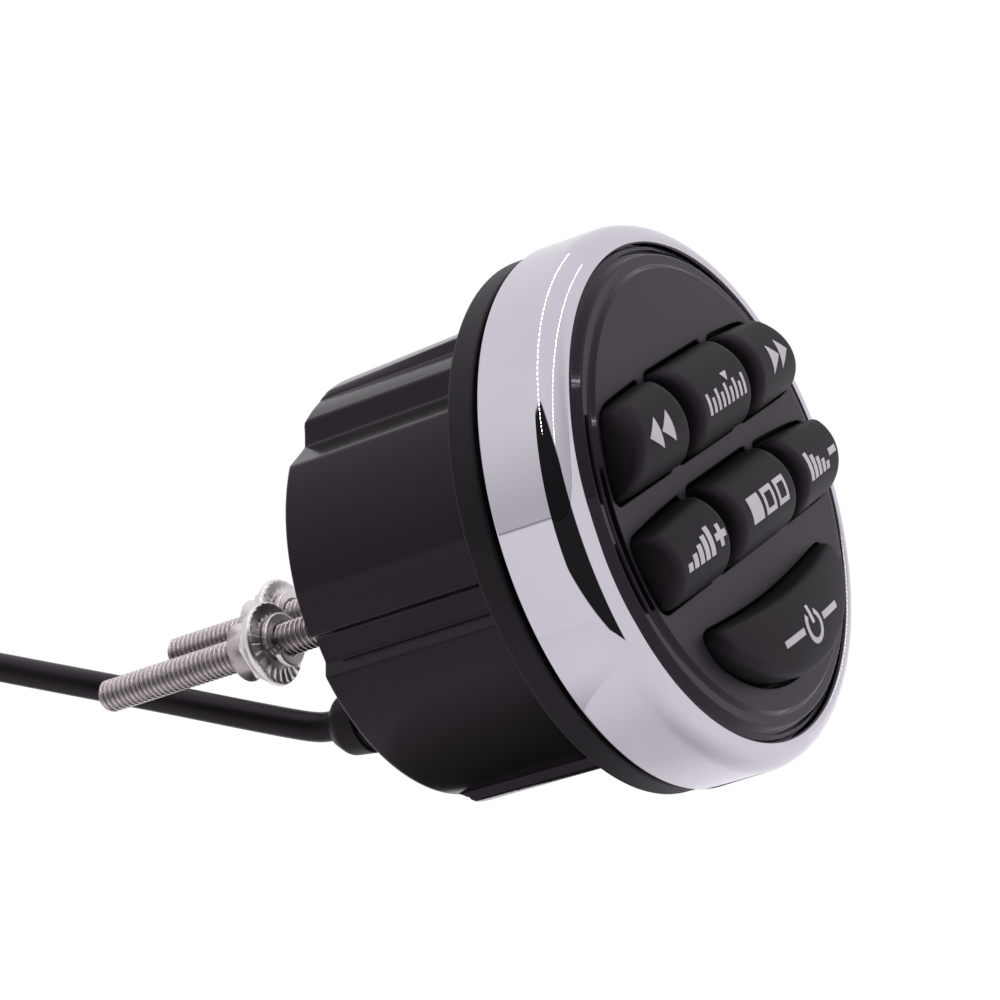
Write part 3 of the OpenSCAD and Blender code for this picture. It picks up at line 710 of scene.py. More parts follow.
@dataclass(frozen=True)
class Can:
    """Housing: the keyed can with its round rear edge, and the flange that carries the face."""

    radius: float = 24.7
    bore: float = 21.3
    strip: float = 26.0
    strip_half: float = 4.2
    strip_lean: float = 38.0
    strip_fall: float = 0.7
    strip_sink: float = 0.1
    block_half: float = 10.2
    block_lean: float = 30.0
    shelf: float = 20.5
    shelf_lean: float = 12.0
    groove: float = 1.7
    groove_top: float = 1.4
    groove_low: float = -1.6
    groove_foot: Pair = (24.5, -3.1)
    step_in: float = 0.5
    step_foot: float = 1.72
    step_low: float = 5.2
    step_high: float = 6.7
    rib: float = 26.0
    rib_half: float = 9.3
    rib_margin: float = 0.1
    rib_start: Pair = (-26.2, -24.6)
    ease: Pair = (2.5, 0.8)
    rear: float = -27.0
    rear_flat: float = 18.0
    rear_round: float = 1.75
    rear_soft: float = 0.3
    floor: float = -24.5
    front_reach: float = 26.2
    flange_rear: float = 3.6
    flange_front: float = 7.6
    flange: float = 30.1
    collar: Pair = (26.6, 28.6)
    collar_front: float = 4.7
    seam: tuple[float, float, float, float] = (5.0, 5.3, 5.6, 5.9)
    seam_depth: float = 0.3
    recess: float = 26.2
    board: float = 5.6

    def outline(self) -> Array:
        """Cross-section of the can with soft corners, anticlockwise from the bottom.

        One side runs from the bottom of the rib up over groove, shelf and block to the strip. The other side
        is its mirror image. Each row of the table holds the radius of the arc that leads to a corner, or 0
        for a straight line, the corner's place and the radius of its rounding.

        Returns:
            The points as two columns.
        """
        foot = chord(self.radius, self.strip_half)
        top = meet(self.strip_half, foot - self.strip_sink, 90.0 + self.strip_lean, self.strip)
        bottom = self.radius - self.groove
        inner = self.radius - self.step_in
        table = [(self.rib, self.rib_half, -chord(self.rib, self.rib_half), 0.35),
                 (0.0, self.rib_half, -chord(self.radius, self.rib_half), 0.3),
                 (self.radius, *self.groove_foot, 0.7),
                 (0.0, bottom, self.groove_low, 0.6),
                 (0.0, bottom, self.groove_top, 0.6),
                 (0.0, chord(inner, self.step_foot), self.step_foot, 0.5),
                 (inner, chord(inner, self.step_low), self.step_low, 1.6),
                 (0.0, chord(self.radius, self.step_high), self.step_high, 2.0),
                 (self.radius, *meet(self.block_half, self.shelf, -self.shelf_lean, self.radius), 1.6),
                 (0.0, self.block_half, self.shelf, 0.8),
                 (0.0, *meet(self.block_half, self.shelf, 90.0 + self.block_lean, self.radius), 0.9),
                 (self.radius, self.strip_half, foot, 0.8),
                 (0.0, *top, 1.4)]
        corners = [(0.0, -self.rib, 0.0)]
        for radius, x, y, fillet in table:
            if radius:
                start, end = bearing(*corners[-1][:2]), bearing(x, y)
                ease = math.copysign(min(self.ease[0], self.ease[1] * fillet), end - start)
                corners += arc(radius, start + ease, end - ease)
            corners.append((x, y, fillet))
        corners += arc(self.strip, bearing(*corners[-1][:2]), 90.0)
        corners.append((0.0, self.strip, 0.0))
        mirrored = [(-x, y, fillet) for x, y, fillet in corners[-2:0:-1]]
        return rounded(corners + mirrored, True, 5)

    def lip(self) -> Array:
        """Profile of the turned part: collar, flange with its seam, recess and bore.

        Returns:
            Radius and level of the points.
        """
        first, second, third, fourth = self.seam
        inner = self.flange - self.seam_depth
        return rounded([(self.collar[0], self.flange_rear, 0.0), (self.collar[1], self.flange_rear, 0.2),
                        (self.collar[1], self.collar_front, 0.2), (self.flange, self.collar_front, 0.1),
                        (self.flange, first, 0.0), (inner, second, 0.0), (inner, third, 0.0),
                        (self.flange, fourth, 0.0), (self.flange, self.flange_front, 0.3),
                        (self.recess, self.flange_front, 0.2), (self.recess, self.board, 0.2),
                        (self.bore, self.board, 0.3), (self.bore, self.floor, 1.5),
                        (0.0, self.floor, 0.0)], False, 4)

    def build(self) -> None:
        """Draws the can's section along n and turns flange, recess and bore onto it.

        A section's radius is cut to an envelope: a cone that falls towards the rear, from front_reach at the
        flange, and a rounding at its end whose radius and level are sine and cosine of the lean. The rib
        rises from the can in a short ramp.
        """
        section = self.outline()
        reach = np.linalg.norm(section, axis=1)
        aim = section / reach[:, None]
        rows: list[Array] = []
        start = self.rear + self.rear_round
        rear_reach = self.strip - self.strip_fall
        under = (section[:, 1] < 0.0) & (np.abs(section[:, 0]) < self.rib_half + self.rib_margin)

        def row(radius: Array | float, level: float) -> None:
            """Adds a row at a level, with one radius or one for each direction of the section."""
            rows.append(at_level(aim * np.broadcast_to(radius, reach.shape)[:, None], level))

        def wall(level: float) -> Array:
            """Radius of the wall in each direction of the section.

            Args:
                level: Level of the row.

            Returns:
                The section's own radius, cut to the cone, or to the ramp under the can.
            """
            cone = np.interp(level, [start, self.flange_rear + 1.0], [rear_reach, self.front_reach])
            ramp = np.interp(level, self.rib_start, [self.radius, self.rib])
            return np.minimum(reach, np.where(under, ramp, cone))

        row(0.0, self.rear)
        row(self.rear_flat, self.rear)
        limit = rear_reach - self.rear_round
        row(np.minimum(wall(start) - self.rear_soft, limit - self.rear_soft), self.rear)
        for lean in np.radians(np.linspace(0.0, 90.0, 11)):
            limit = rear_reach - self.rear_round + self.rear_round * math.sin(lean)
            soft = self.rear_soft * (1.0 - math.sin(min(4.0 * lean, math.pi / 2)))
            level = start - self.rear_round * math.cos(lean)
            row(np.minimum(wall(level) - soft, limit), level)
        for level in (start + self.rear_soft, *np.linspace(self.rib_start[1], self.flange_rear, 10)):
            row(wall(level), level)
        for radius, level in self.lip():
            row(radius, level)
        shell = Shell().grid(to_row(np.stack(rows)))
        adopt(shell.build("housing_can", 40.0), "head", Slot.CAN, [CAN], "rear_housing")


# Face and keys


@dataclass(frozen=True)
class Outline:
    """Opening in the face: walls as signed distances, positive outside, that meet in round corners."""

    centre: Pair
    walls: Callable[[Array, Array], Array]
    corner: float = 1.2
    farthest: float = 40.0
    halvings: int = 44
    trial: int = 1440

    def signed(self, x: Array, y: Array) -> Array:
        """Signed distance from the opening's edge.

        With walls a and corner radius r it is min(max(a + r), 0) + |max(a + r, 0)| - r.

        Args:
            x: Places to the right.
            y: Places upwards.

        Returns:
            The distances, negative inside.
        """
        lifted = self.walls(x, y) + self.corner
        outside = np.sqrt((np.maximum(lifted, 0.0) ** 2).sum(axis=0))
        return np.minimum(lifted.max(axis=0), 0.0) + outside - self.corner

    def along(self, angles: Array, level: float) -> Array:
        """Points at a signed distance, found by halving the stretch from the centre outwards.

        Args:
            angles: Directions from the centre.
            level: Signed distance.

        Returns:
            The points as two columns.
        """
        low, high = np.zeros_like(angles), np.full_like(angles, self.farthest)
        aim = np.stack([np.cos(angles), np.sin(angles)])
        for _ in range(self.halvings):
            middle = 0.5 * (low + high)
            inside = self.signed(self.centre[0] + middle * aim[0], self.centre[1] + middle * aim[1]) < level
            low, high = np.where(inside, middle, low), np.where(inside, high, middle)
        return np.asarray(self.centre) + (low * aim).T

    def loop(self, level: float, count: int) -> Array:
        """Closed loop at a signed distance, with its points spread evenly along the edge.

        Args:
            level: Signed distance of the loop from the edge.
            count: Number of points.

        Returns:
            The points as two columns; loops of one opening have their points in the same directions.
        """
        fine = turn(self.trial)
        edge = self.along(fine, 0.0)
        length = np.linalg.norm(np.diff(edge, axis=0, append=edge[:1]), axis=1)
        travelled = np.concatenate([[0.0], np.cumsum(length)])
        spots = np.arange(count) * travelled[-1] / count
        return self.along(np.interp(spots, travelled, np.append(fine, 2.0 * np.pi)), level)


def quad(*corners: Pair) -> Array:
    """Patch of four corners a, b, c and d: (1 - u) ((1 - v) a + v b) + u ((1 - v) d + v c).

    Args:
        corners: The corners in order round the patch.

    Returns:
        The grid of points, 9 by 9.
    """
    a, b, c, d = (np.asarray(corner, dtype=float) for corner in corners)
    u, v = np.meshgrid(np.linspace(0, 1, 9), np.linspace(0, 1, 9), indexing="ij")
    u, v = u[..., None], v[..., None]
    return (1 - u) * ((1 - v) * a + v * b) + u * ((1 - v) * d + v * c)


def box(x: float, y: float, width: float, height: float) -> Array:
    """Upright rectangular patch round a middle."""
    w, h = width / 2, height / 2
    return quad((x - w, y - h), (x + w, y - h), (x + w, y + h), (x - w, y + h))


def bow(y: float, radii: Pair, ends: Pair) -> Array:
    """Patch between two radii and two angles in degrees, round a middle at that height."""
    u, v = np.meshgrid(np.linspace(*radii, 5), np.radians(np.linspace(*ends, 49)), indexing="ij")
    return np.stack([u * np.cos(v), y + u * np.sin(v)], axis=-1)


@dataclass(frozen=True)
class Legend:
    """Printed signs on the keys: plain signs of what a key does, without words.

    Attributes:
        stroke: Width of the broad lines.
        arrow: Half length and half height of an arrowhead.
        arrow_shift: Half the distance between two arrowheads.
        mark_pitch: Distance between the marks of the dial.
        mark_width: Width of a mark.
        long_mark: Middle and height of a long mark.
        short_mark: Middle and height of a short mark.
        pointer: Top and tip of the dial's pointer, and half its width.
        square: Width and height of a square.
        square_pitch: Distance between two squares.
        square_line: Width of an open square's lines.
        bars: Heights of the bars.
        bar_start: Middle of the first bar and foot of all.
        bar_pitch: Distance between two bars.
        bar_width: Width of a bar.
        sign: Place to the right and length of the plus or minus sign.
        ring: Inner and outer radius of the broken ring.
        ring_middle: Height of its middle.
        ring_ends: Angles of its ends, in degrees.
        upright: Middle, width and height of the bar in it.
        side_line: Place and length of the lines beside it.
    """

    stroke: float = 0.8
    arrow: Pair = (1.25, 1.75)
    arrow_shift: float = 1.4
    mark_pitch: float = 1.2
    mark_width: float = 0.62
    long_mark: Pair = (-0.4, 2.4)
    short_mark: Pair = (-0.75, 1.7)
    pointer: Triple = (1.9, 0.85, 0.8)
    square: Pair = (2.9, 3.0)
    square_pitch: float = 3.7
    square_line: float = 0.6
    bars: tuple[float, ...] = (0.9, 1.5, 2.1, 2.7, 3.3)
    bar_start: Pair = (-4.0, -1.6)
    bar_pitch: float = 1.35
    bar_width: float = 0.95
    sign: Pair = (3.7, 2.5)
    ring: Pair = (1.4, 2.05)
    ring_middle: float = -0.2
    ring_ends: Pair = (125.0, 415.0)
    upright: Triple = (1.15, 0.66, 2.1)
    side_line: Pair = (5.1, 4.8)

    def skip(self, way: float) -> list[Array]:
        """Two arrowheads.

        Args:
            way: 1 where they point to the right, -1 to the left.

        Returns:
            The patches.
        """
        length, height = self.arrow
        heads = []
        for shift in (-self.arrow_shift, self.arrow_shift):
            tip, tail = shift + length * way, shift - length * way
            heads.append(quad((tail, -height), (tip, 0.0), (tip, 0.0), (tail, height)))
        return heads

    def tuner(self) -> list[Array]:
        """Dial scale of long and short marks in turn, with a pointer over one of them.

        Returns:
            The patches.
        """
        marks = []
        for i in range(-4, 5):
            middle, height = self.short_mark if i % 2 else self.long_mark
            marks.append(box(self.mark_pitch * i, middle, self.mark_width, height))
        top, tip, half = self.pointer
        low = (self.mark_pitch, tip)
        return marks + [quad((self.mark_pitch - half, top), low, low, (self.mark_pitch + half, top))]

    def choice(self) -> list[Array]:
        """One full and two open squares in a row.

        Returns:
            The patches.
        """
        width, height = self.square
        line = self.square_line
        marks = [box(-self.square_pitch, 0.0, width, height)]
        for x in (0.0, self.square_pitch):
            marks += [box(x, s * (height - line) / 2, width, line) for s in (-1, 1)]
            marks += [box(x + s * (width - line) / 2, 0.0, line, height - 2 * line) for s in (-1, 1)]
        return marks

    def level(self, way: float) -> list[Array]:
        """Row of bars with a sign.

        Args:
            way: 1 where the bars rise and the sign is a plus, -1 where they fall and it is a minus.

        Returns:
            The patches.
        """
        first, foot = self.bar_start
        marks = [box(first + self.bar_pitch * i, foot + 0.5 * height, self.bar_width, height)
                 for i, height in enumerate(sorted(self.bars, reverse=way < 0))]
        place, length = self.sign
        marks.append(box(place, 0.0, length, self.stroke))
        arm = (length - self.stroke) / 2
        if way > 0:
            marks += [box(place, s * (self.stroke + arm) / 2, self.stroke, arm) for s in (-1, 1)]
        return marks

    def standby(self) -> list[Array]:
        """Broken ring with an upright bar, between two lines.

        Returns:
            The patches.
        """
        middle, width, height = self.upright
        place, length = self.side_line
        marks = [bow(self.ring_middle, self.ring, self.ring_ends), box(0.0, middle, width, height)]
        return marks + [box(s * place, 0.0, length, self.stroke) for s in (-1, 1)]


@dataclass(frozen=True)
class Key:
    """Key that stands out of its opening, with an arched and crowned top.

    Attributes:
        name: Name in the record's nodes.
        outline: Opening that it stands in.
        ends: Number of the outline's walls that are ends, which come first.
        ridge: Height of the ridge line at a place to the right.
        top: Level of the ridge at the middle.
        arch: Radius across.
        crown: Radius along.
        end_round: Radius of the rounding at the ends.
        edge_round: Radius of the rounding at the long edges.
        legend: Patches of the printed sign, round its middle.
        sign: Middle of the sign.
        columns: Points round the key.
        rows: Rows of its top.
        gap: Distance from the opening's edge.
        flange: Distance by which the flange behind the plate stands over the opening.
        core: Distance by which the core behind the flange steps in.
        flange_levels: Front and rear of the flange.
        rear: Rear of the core.
        film: Height of the print above the top, and depth to which it reaches into it.
    """

    name: str
    outline: Outline
    ends: int
    ridge: Callable[[Array], Array]
    top: float
    arch: float
    crown: float
    end_round: float
    edge_round: float
    legend: Sequence[Array]
    sign: Pair
    columns: int = 224
    rows: int = 30
    gap: float = 0.4
    flange: float = 0.4
    core: float = 1.2
    flange_levels: Pair = (12.8, 11.6)
    rear: float = 9.1
    film: Pair = (0.035, 0.06)

    @staticmethod
    def fall(distance: Array, radius: float) -> Array:
        """Drop of a rounding at a distance d inside the edge: R - sqrt(R^2 - (R - d)^2), and 0 from R on."""
        inside = radius - np.clip(distance, 0.0, radius)
        return radius - np.sqrt(np.maximum(radius * radius - inside * inside, 0.0))

    def height(self, x: Array, y: Array) -> Array:
        """Level of the top.

        It is the ridge's level less the arch's drop A - sqrt(A^2 - (y - ridge)^2), the crown's drop
        C - sqrt(C^2 - x^2) and the drop of the rounded ends and edges.

        Args:
            x: Places to the right.
            y: Places upwards.

        Returns:
            The levels along n.
        """
        bound = 0.97 * self.arch
        across = np.clip(y - self.ridge(x), -bound, bound)
        level = self.top - (self.arch - np.sqrt(self.arch ** 2 - across ** 2))
        level = level - (self.crown - np.sqrt(self.crown ** 2 - x ** 2))
        walls = -self.outline.walls(x, y) - self.gap
        for wall in walls[:self.ends]:
            level = level - self.fall(wall, self.end_round)
        inside = -self.outline.signed(x, y) - self.gap
        return level - self.fall(inside, self.edge_round)

    def body(self) -> Array:
        """Rows of the key from the middle of its top to the middle of its rear.

        The top's rows shrink the outline by 1 - t^2, so they lie close at the rounded edge. The flange behind
        the plate stands out and the core behind it steps in.

        Returns:
            The grid in the face frame.
        """
        edge = self.outline.loop(-self.gap, self.columns)
        middle = np.asarray(self.outline.centre)
        front, back = self.flange_levels
        rows = []
        for share in np.linspace(1.0, 0.0, self.rows):
            flat = middle + (1.0 - share * share) * (edge - middle)
            rows.append(at_level(flat, self.height(flat[:, 0], flat[:, 1])))
        rim = rows[-1][:, 2]
        for share in (0.12, 0.5, 1.0):
            rows.append(at_level(edge, rim + share * (front - rim)))
        steps = [(self.flange, front), (self.flange, back), (-self.core, back), (-self.core, self.rear)]
        for away, level in steps:
            rows.append(at_level(self.outline.loop(away, self.columns), level))
        rows.append(at_level(np.tile(middle, (self.columns, 1)), self.rear))
        return np.stack(rows)

    def build(self) -> None:
        """Makes the key with its print, a film that follows the top and stands a little above it."""
        shell = Shell().grid(to_row(self.body()))
        above, below = self.film
        for patch in self.legend:
            x, y = patch[..., 0] + self.sign[0], patch[..., 1] + self.sign[1]
            level = self.height(x, y)
            films = [to_row(np.stack([x, y, n], axis=-1)) for n in (level + above, level - below)]
            borders = [np.concatenate([g[0, :-1], g[:-1, -1], g[-1, :0:-1], g[:0:-1, 0]]) for g in films]
            for film in films:
                shell.grid(film, wrap=False, kind=1)
            shell.grid(np.stack(borders), kind=1)
        made = shell.build("cap_" + self.name, 45.0)
        adopt(made, self.name + "_key", Slot.KEY, [KEY, LEGEND], "key_" + self.name)


@dataclass(frozen=True)
class Keypad:
    """The seven keys and the face plate that they stand out of.

    The rim's table gives radius, level and rounding of the corners between the field and the skirt.
    """

    field: float = 15.1
    field_radius: float = 25.3
    fill_radii: Pair = (25.1, 25.2)
    plate_rear: float = 12.9
    plate_sides: int = 320
    opening_points: int = 160
    opening_round: float = 0.28
    opening_land: float = 0.35
    opening_wall: float = 14.3
    rim: tuple[Triple, ...] = (
        (25.75, 14.52, 0.3), (26.35, 14.5, 0.0), (26.95, 14.5, 0.3), (27.75, 13.6, 0.4), (28.3, 13.4, 0.2),
        (28.3, 12.4, 0.1), (30.1, 12.4, 0.2), (30.1, 8.6, 0.2), (25.5, 8.6, 0.2))
    skirt_inner: float = 25.5
    slot_end: float = 24.7
    low: Pair = (-7.8, 4.8)
    high: Pair = (2.4, 15.5)
    half: Pair = (8.85, 8.0)
    web: float = 1.2
    row_crown: float = 250.0
    row_shift: float = 0.3
    row_rise: float = 4.7
    row_drop: float = 2.8
    row_along: float = 290.0
    row_rounds: Pair = (1.7, 0.5)
    sign_sink: float = 0.1
    crescent_top: float = -12.6
    crescent_end: float = -11.2
    crescent_middle: float = -17.2
    crescent_half: float = 17.9
    crescent_radius: float = 22.7
    crescent_corner: float = 2.2
    crescent_rise: float = 4.1
    crescent_arch: float = 11.0
    crescent_along: float = 75.0
    crescent_rounds: Pair = (2.0, 1.0)
    crescent_ridge: float = -17.65
    crescent_sign: float = -17.5
    crescent_columns: int = 320
    smile: float = 82.0

    def row_outline(self, row: int, side: Side) -> Outline:
        """Opening of a row key: a middle one has straight ends, an outer one ends on the circle of the field.

        Args:
            row: 0 for the lower row, 1 for the upper one.
            side: Place of the key in its row.

        Returns:
            The opening.
        """
        low, high, half = self.low[row], self.high[row], self.half[row]
        near, way = half + self.web, side.value
        crown = high - self.row_crown

        def straight(x: Array, y: Array) -> Array:
            """Signed distances from both ends and from the upper and lower edge."""
            return np.stack([np.abs(x) - half, y - high, low - y])

        def outer(x: Array, y: Array) -> Array:
            """Signed distances from the inner end, the circle, the lower edge and the crowned upper edge."""
            return np.stack([near - way * x, np.hypot(x, y) - self.slot_end, low - y,
                             np.hypot(x, y - crown) - self.row_crown])

        if side is Side.MIDDLE:
            return Outline((0.0, (low + high) / 2), straight)
        return Outline((way * (near + self.slot_end) / 2 - way * self.row_shift, (low + high) / 2), outer)

    def crescent_outline(self) -> Outline:
        """Opening of the crescent key, between a hollow upper edge and a circle.

        Returns:
            The opening.
        """
        centre = self.crescent_top + self.smile

        def walls(x: Array, y: Array) -> Array:
            """Signed distances from both tips, the circle, the hollow edge and the tips' top."""
            return np.stack([np.abs(x) - self.crescent_half, np.hypot(x, y) - self.crescent_radius,
                             self.smile - np.hypot(x, y - centre), y - self.crescent_end])

        return Outline((0.0, self.crescent_middle), walls, self.crescent_corner)

    def crescent_line(self, x: Array) -> Array:
        """Ridge of the crescent key: halfway from a level line to the middle between its edges.

        Args:
            x: Places to the right.

        Returns:
            The ridge's heights.
        """
        upper = self.crescent_top + self.smile - np.sqrt(self.smile ** 2 - x ** 2)
        lower = -np.sqrt(np.maximum(self.crescent_radius ** 2 - x ** 2, 1.0))
        return self.crescent_ridge + 0.5 * ((upper + lower) / 2 - self.crescent_ridge)

    def keys(self) -> list[Key]:
        """All keys, upper row first.

        A row key's arch has the radius (a^2 + d^2) / 2d of a bow of half width a and drop d.

        Returns:
            The keys.
        """
        signs = Legend()
        table = [(1, Side.LEFT, "skip_back", signs.skip(-1.0)),
                 (1, Side.MIDDLE, "band", signs.tuner()),
                 (1, Side.RIGHT, "skip_forward", signs.skip(1.0)),
                 (0, Side.LEFT, "volume_up", signs.level(1.0)),
                 (0, Side.MIDDLE, "mode", signs.choice()),
                 (0, Side.RIGHT, "volume_down", signs.level(-1.0))]
        made = []
        for row, side, name, legend in table:
            outline = self.row_outline(row, side)
            across, middle = outline.centre
            reach = (self.high[row] - self.low[row]) / 2 - Key.gap
            arch = (reach * reach + self.row_drop * self.row_drop) / (2 * self.row_drop)
            made.append(Key(name, outline, 1 if side is Side.MIDDLE else 2,
                            lambda x, m=middle: np.full_like(x, m), self.field + self.row_rise, arch,
                            self.row_along, *self.row_rounds, legend, (across, middle - self.sign_sink)))
        made.append(Key("power", self.crescent_outline(), 1, self.crescent_line,
                        self.field + self.crescent_rise, self.crescent_arch, self.crescent_along,
                        *self.crescent_rounds, signs.standby(), (0.0, self.crescent_sign),
                        self.crescent_columns))
        return made

    def plate(self, keys: Sequence[Key]) -> None:
        """Makes the face plate: a flat field with round-edged openings, and the turned rim and skirt.

        The field's top and rear are filled between the outer loop and the openings' loops. The walls of the
        openings start with a quarter round.

        Args:
            keys: The keys whose openings the plate has.
        """
        shell = Shell()
        circle = polar(1.0, turn(self.plate_sides), 0.0)[:, :2]
        upper, lower = ([circle * radius] for radius in self.fill_radii)
        lean = np.radians(np.linspace(0.0, 90.0, 7))
        away = self.opening_round - self.opening_round * np.sin(lean)
        level = self.field - self.opening_round + self.opening_round * np.cos(lean)
        rows = [(self.opening_land, self.field), *zip(away, level), (0.0, self.opening_wall),
                (0.0, self.plate_rear)]
        for key in keys:
            grid = [at_level(key.outline.loop(d, self.opening_points), n) for d, n in rows]
            shell.grid(to_row(np.stack(grid)))
            upper.append(grid[0][:, :2])
            lower.append(grid[-1][:, :2])
        for loops, place in ((upper, self.field), (lower, self.plate_rear)):
            triangles = tessellate_polygon([list(map(Vector, at_level(loop, 0.0))) for loop in loops])
            shell.add(to_row(at_level(np.concatenate(loops), place)), np.asarray(triangles))
        inner, outer = self.fill_radii
        rim = rounded([(inner, self.field, 0.0), (self.field_radius, self.field, 0.16), *self.rim,
                       (self.skirt_inner, self.plate_rear, 0.1), (outer, self.plate_rear, 0.0)], False, 8)
        shell.grid(to_row(lathe(rim, self.plate_sides)))
        adopt(shell.build("face_panel", 38.0), "head", Slot.FACE, [FACE], "face_plate")

    def build(self) -> None:
        """Makes keys and plate."""
        keys = self.keys()
        for key in keys:
            key.build()
        self.plate(keys)


# Studs, nuts and washers


@dataclass(frozen=True)
class Fixing:
    """Threaded stud with its flange nut and split washer.

    The tables give the nut from its front backwards: radius, level and tooth depth of the serrated face, then
    the skirt's share of the flange and its level, the hexagon's levels, and radius and level of the rear.
    """

    side: Side
    nut: float
    spacing: float = 16.0
    radius: float = 2.0
    root: float = 1.60
    pitch: float = 0.7
    floor: float = -24.5
    tip: float = -68.4
    chamfer: float = 0.7
    sides: int = 40
    turn_rows: int = 9
    crest: Pair = (0.2, 0.62)
    head: tuple[Pair, ...] = ((0.0, 1.5), (3.3, 1.5), (3.6, 1.2), (3.6, 0.0))
    flats: float = 7.0
    nut_turn: float = 44.0
    teeth: int = 24
    tooth_columns: int = 15
    tooth_rise: float = 0.8
    serrated: tuple[Triple, ...] = (
        (2.06, -0.6, 0.0), (2.06, -0.45, 0.0), (2.5, 0.0, 0.0), (3.1, 0.0, 0.0), (3.25, 0.0, 0.0),
        (3.5, -0.01, 0.17), (4.0, -0.01, 0.2), (4.5, -0.01, 0.24), (4.7, -0.02, 0.2), (4.82, -0.12, 0.06),
        (4.91, -0.24, 0.0), (4.98, -0.42, 0.0), (5.0, -0.55, 0.0), (5.0, -0.75, 0.0), (4.97, -0.88, 0.0),
        (4.9, -1.0, 0.0))
    skirt: tuple[Pair, ...] = (
        (0.84, -1.2), (0.62, -1.5), (0.4, -1.8), (0.2, -2.1), (0.07, -2.35), (0.01, -2.6))
    hexagon: tuple[float, ...] = (-2.8, -3.6, -4.1, -4.25, -4.4, -4.52, -4.6)
    rear: tuple[Pair, ...] = (
        (3.5, -4.65), (3.3, -4.65), (2.6, -4.65), (2.45, -4.6), (2.06, -4.25), (2.06, -4.1))
    cone: Triple = (3.62, 4.65, -1.73)
    washer_low: Pair = (2.12, 0.06)
    washer_high: Pair = (3.28, 0.94)
    washer_round: float = 0.2
    washer_gap: float = 0.05
    washer_ends: Pair = (9.0, 351.0)
    washer_rows: int = 97
    split: float = 187.0
    spread: float = 1.0

    @property
    def x(self) -> float:
        """Place of the stud to the right of the centre."""
        return self.side.value * self.spacing / 2

    def stud(self) -> Array:
        """Rows of the stud: its head, then a thread whose radius follows n / pitch - t / 2 pi.

        The flank is a smooth step between root and crest over a third of the pitch, and a chamfer bounds
        the tip.

        Returns:
            The grid in the face frame.
        """
        angles = turn(self.sides)
        level = np.arange(self.floor, self.tip, -self.pitch / self.turn_rows)[:, None]
        phase = np.mod(level / self.pitch - angles / (2 * np.pi), 1.0)
        flank = np.clip((np.abs(2.0 * phase - 1.0) - self.crest[0]) / self.crest[1], 0.0, 1.0)
        radius = self.root + (self.radius - self.root) * flank * flank * (3.0 - 2.0 * flank)
        end = self.radius - self.chamfer
        thread = polar(np.minimum(radius, end + (level - self.tip)), angles, level)
        head = lathe(np.array(self.head) + [0.0, self.floor], self.sides)
        tip = lathe([(end, self.tip), (0.0, self.tip)], self.sides)
        return np.concatenate([head, thread, tip]) + [self.x, 0.0, 0.0]

    def flange_nut(self) -> Array:
        """Rows of the nut round its axis, as a closed section.

        The hexagon's radius is half the flats / cos of the angle from the nearest flat. The teeth are a saw
        whose depth grows outwards. The skirt leads from the flange to the hexagon, and a cone of 30 degrees
        takes the hexagon's rear corners.

        Returns:
            The grid in the face frame.
        """
        columns = self.teeth * self.tooth_columns
        angles = turn(columns)
        hexagon = np.mod(angles - np.radians(self.nut_turn), np.pi / 3) - np.pi / 6
        hexagon = (self.flats / 2) / np.cos(hexagon)
        saw = np.mod(angles * self.teeth / (2 * np.pi), 1.0)
        saw = np.where(saw < self.tooth_rise, saw / self.tooth_rise, (1.0 - saw) / (1.0 - self.tooth_rise))
        radius, level, depth = np.array(self.serrated).T[..., None]
        face = polar(radius, angles, level - depth * saw)
        share, level = np.array(self.skirt).T[..., None]
        skirt = polar(hexagon + share * (radius[-1] - hexagon), angles, level)
        level = np.array(self.hexagon)[:, None]
        size, start, slope = self.cone
        sides = polar(np.minimum(hexagon, size + (level + start) * slope), angles, level)
        return np.concatenate([face, skirt, sides, lathe(self.rear, columns)]) + [self.x, 0.0, self.nut]

    def washer(self) -> Shell:
        """Split washer: a soft-edged bar that climbs along one turn, from one end of the split to the other.

        Returns:
            The mesh in the making.
        """
        section = bar(self.washer_low, self.washer_high, self.washer_round, 4)
        angles = np.radians(self.split - np.linspace(*self.washer_ends, self.washer_rows))
        climb = self.spread * np.linspace(0.0, 1.0, self.washer_rows)
        level = self.nut + self.washer_gap + section[:, 1] + climb[:, None]
        grid = to_row(polar(section[:, 0], angles[:, None], level) + [self.x, 0.0, 0.0])
        return Shell().grid(grid).ends(grid[0], grid[-1])

    def build(self) -> None:
        """Makes the three pieces of this side."""
        name = self.side.name.lower()
        made = Shell().grid(to_row(self.stud())).build(name + "_threaded_stud", 60.0)
        adopt(made, "head", Slot.STEEL, [STEEL], name + "_stud")
        made = Shell().grid(to_row(self.flange_nut()), close=True).build(name + "_serrated_nut", 30.0)
        adopt(made, name + "_nut", Slot.STEEL, [BRIGHT_STEEL], name + "_flange_nut")
        made = self.washer().build(name + "_split_washer", 40.0)
        adopt(made, name + "_washer", Slot.STEEL, [BRIGHT_STEEL], name + "_spring_washer")


# Cable


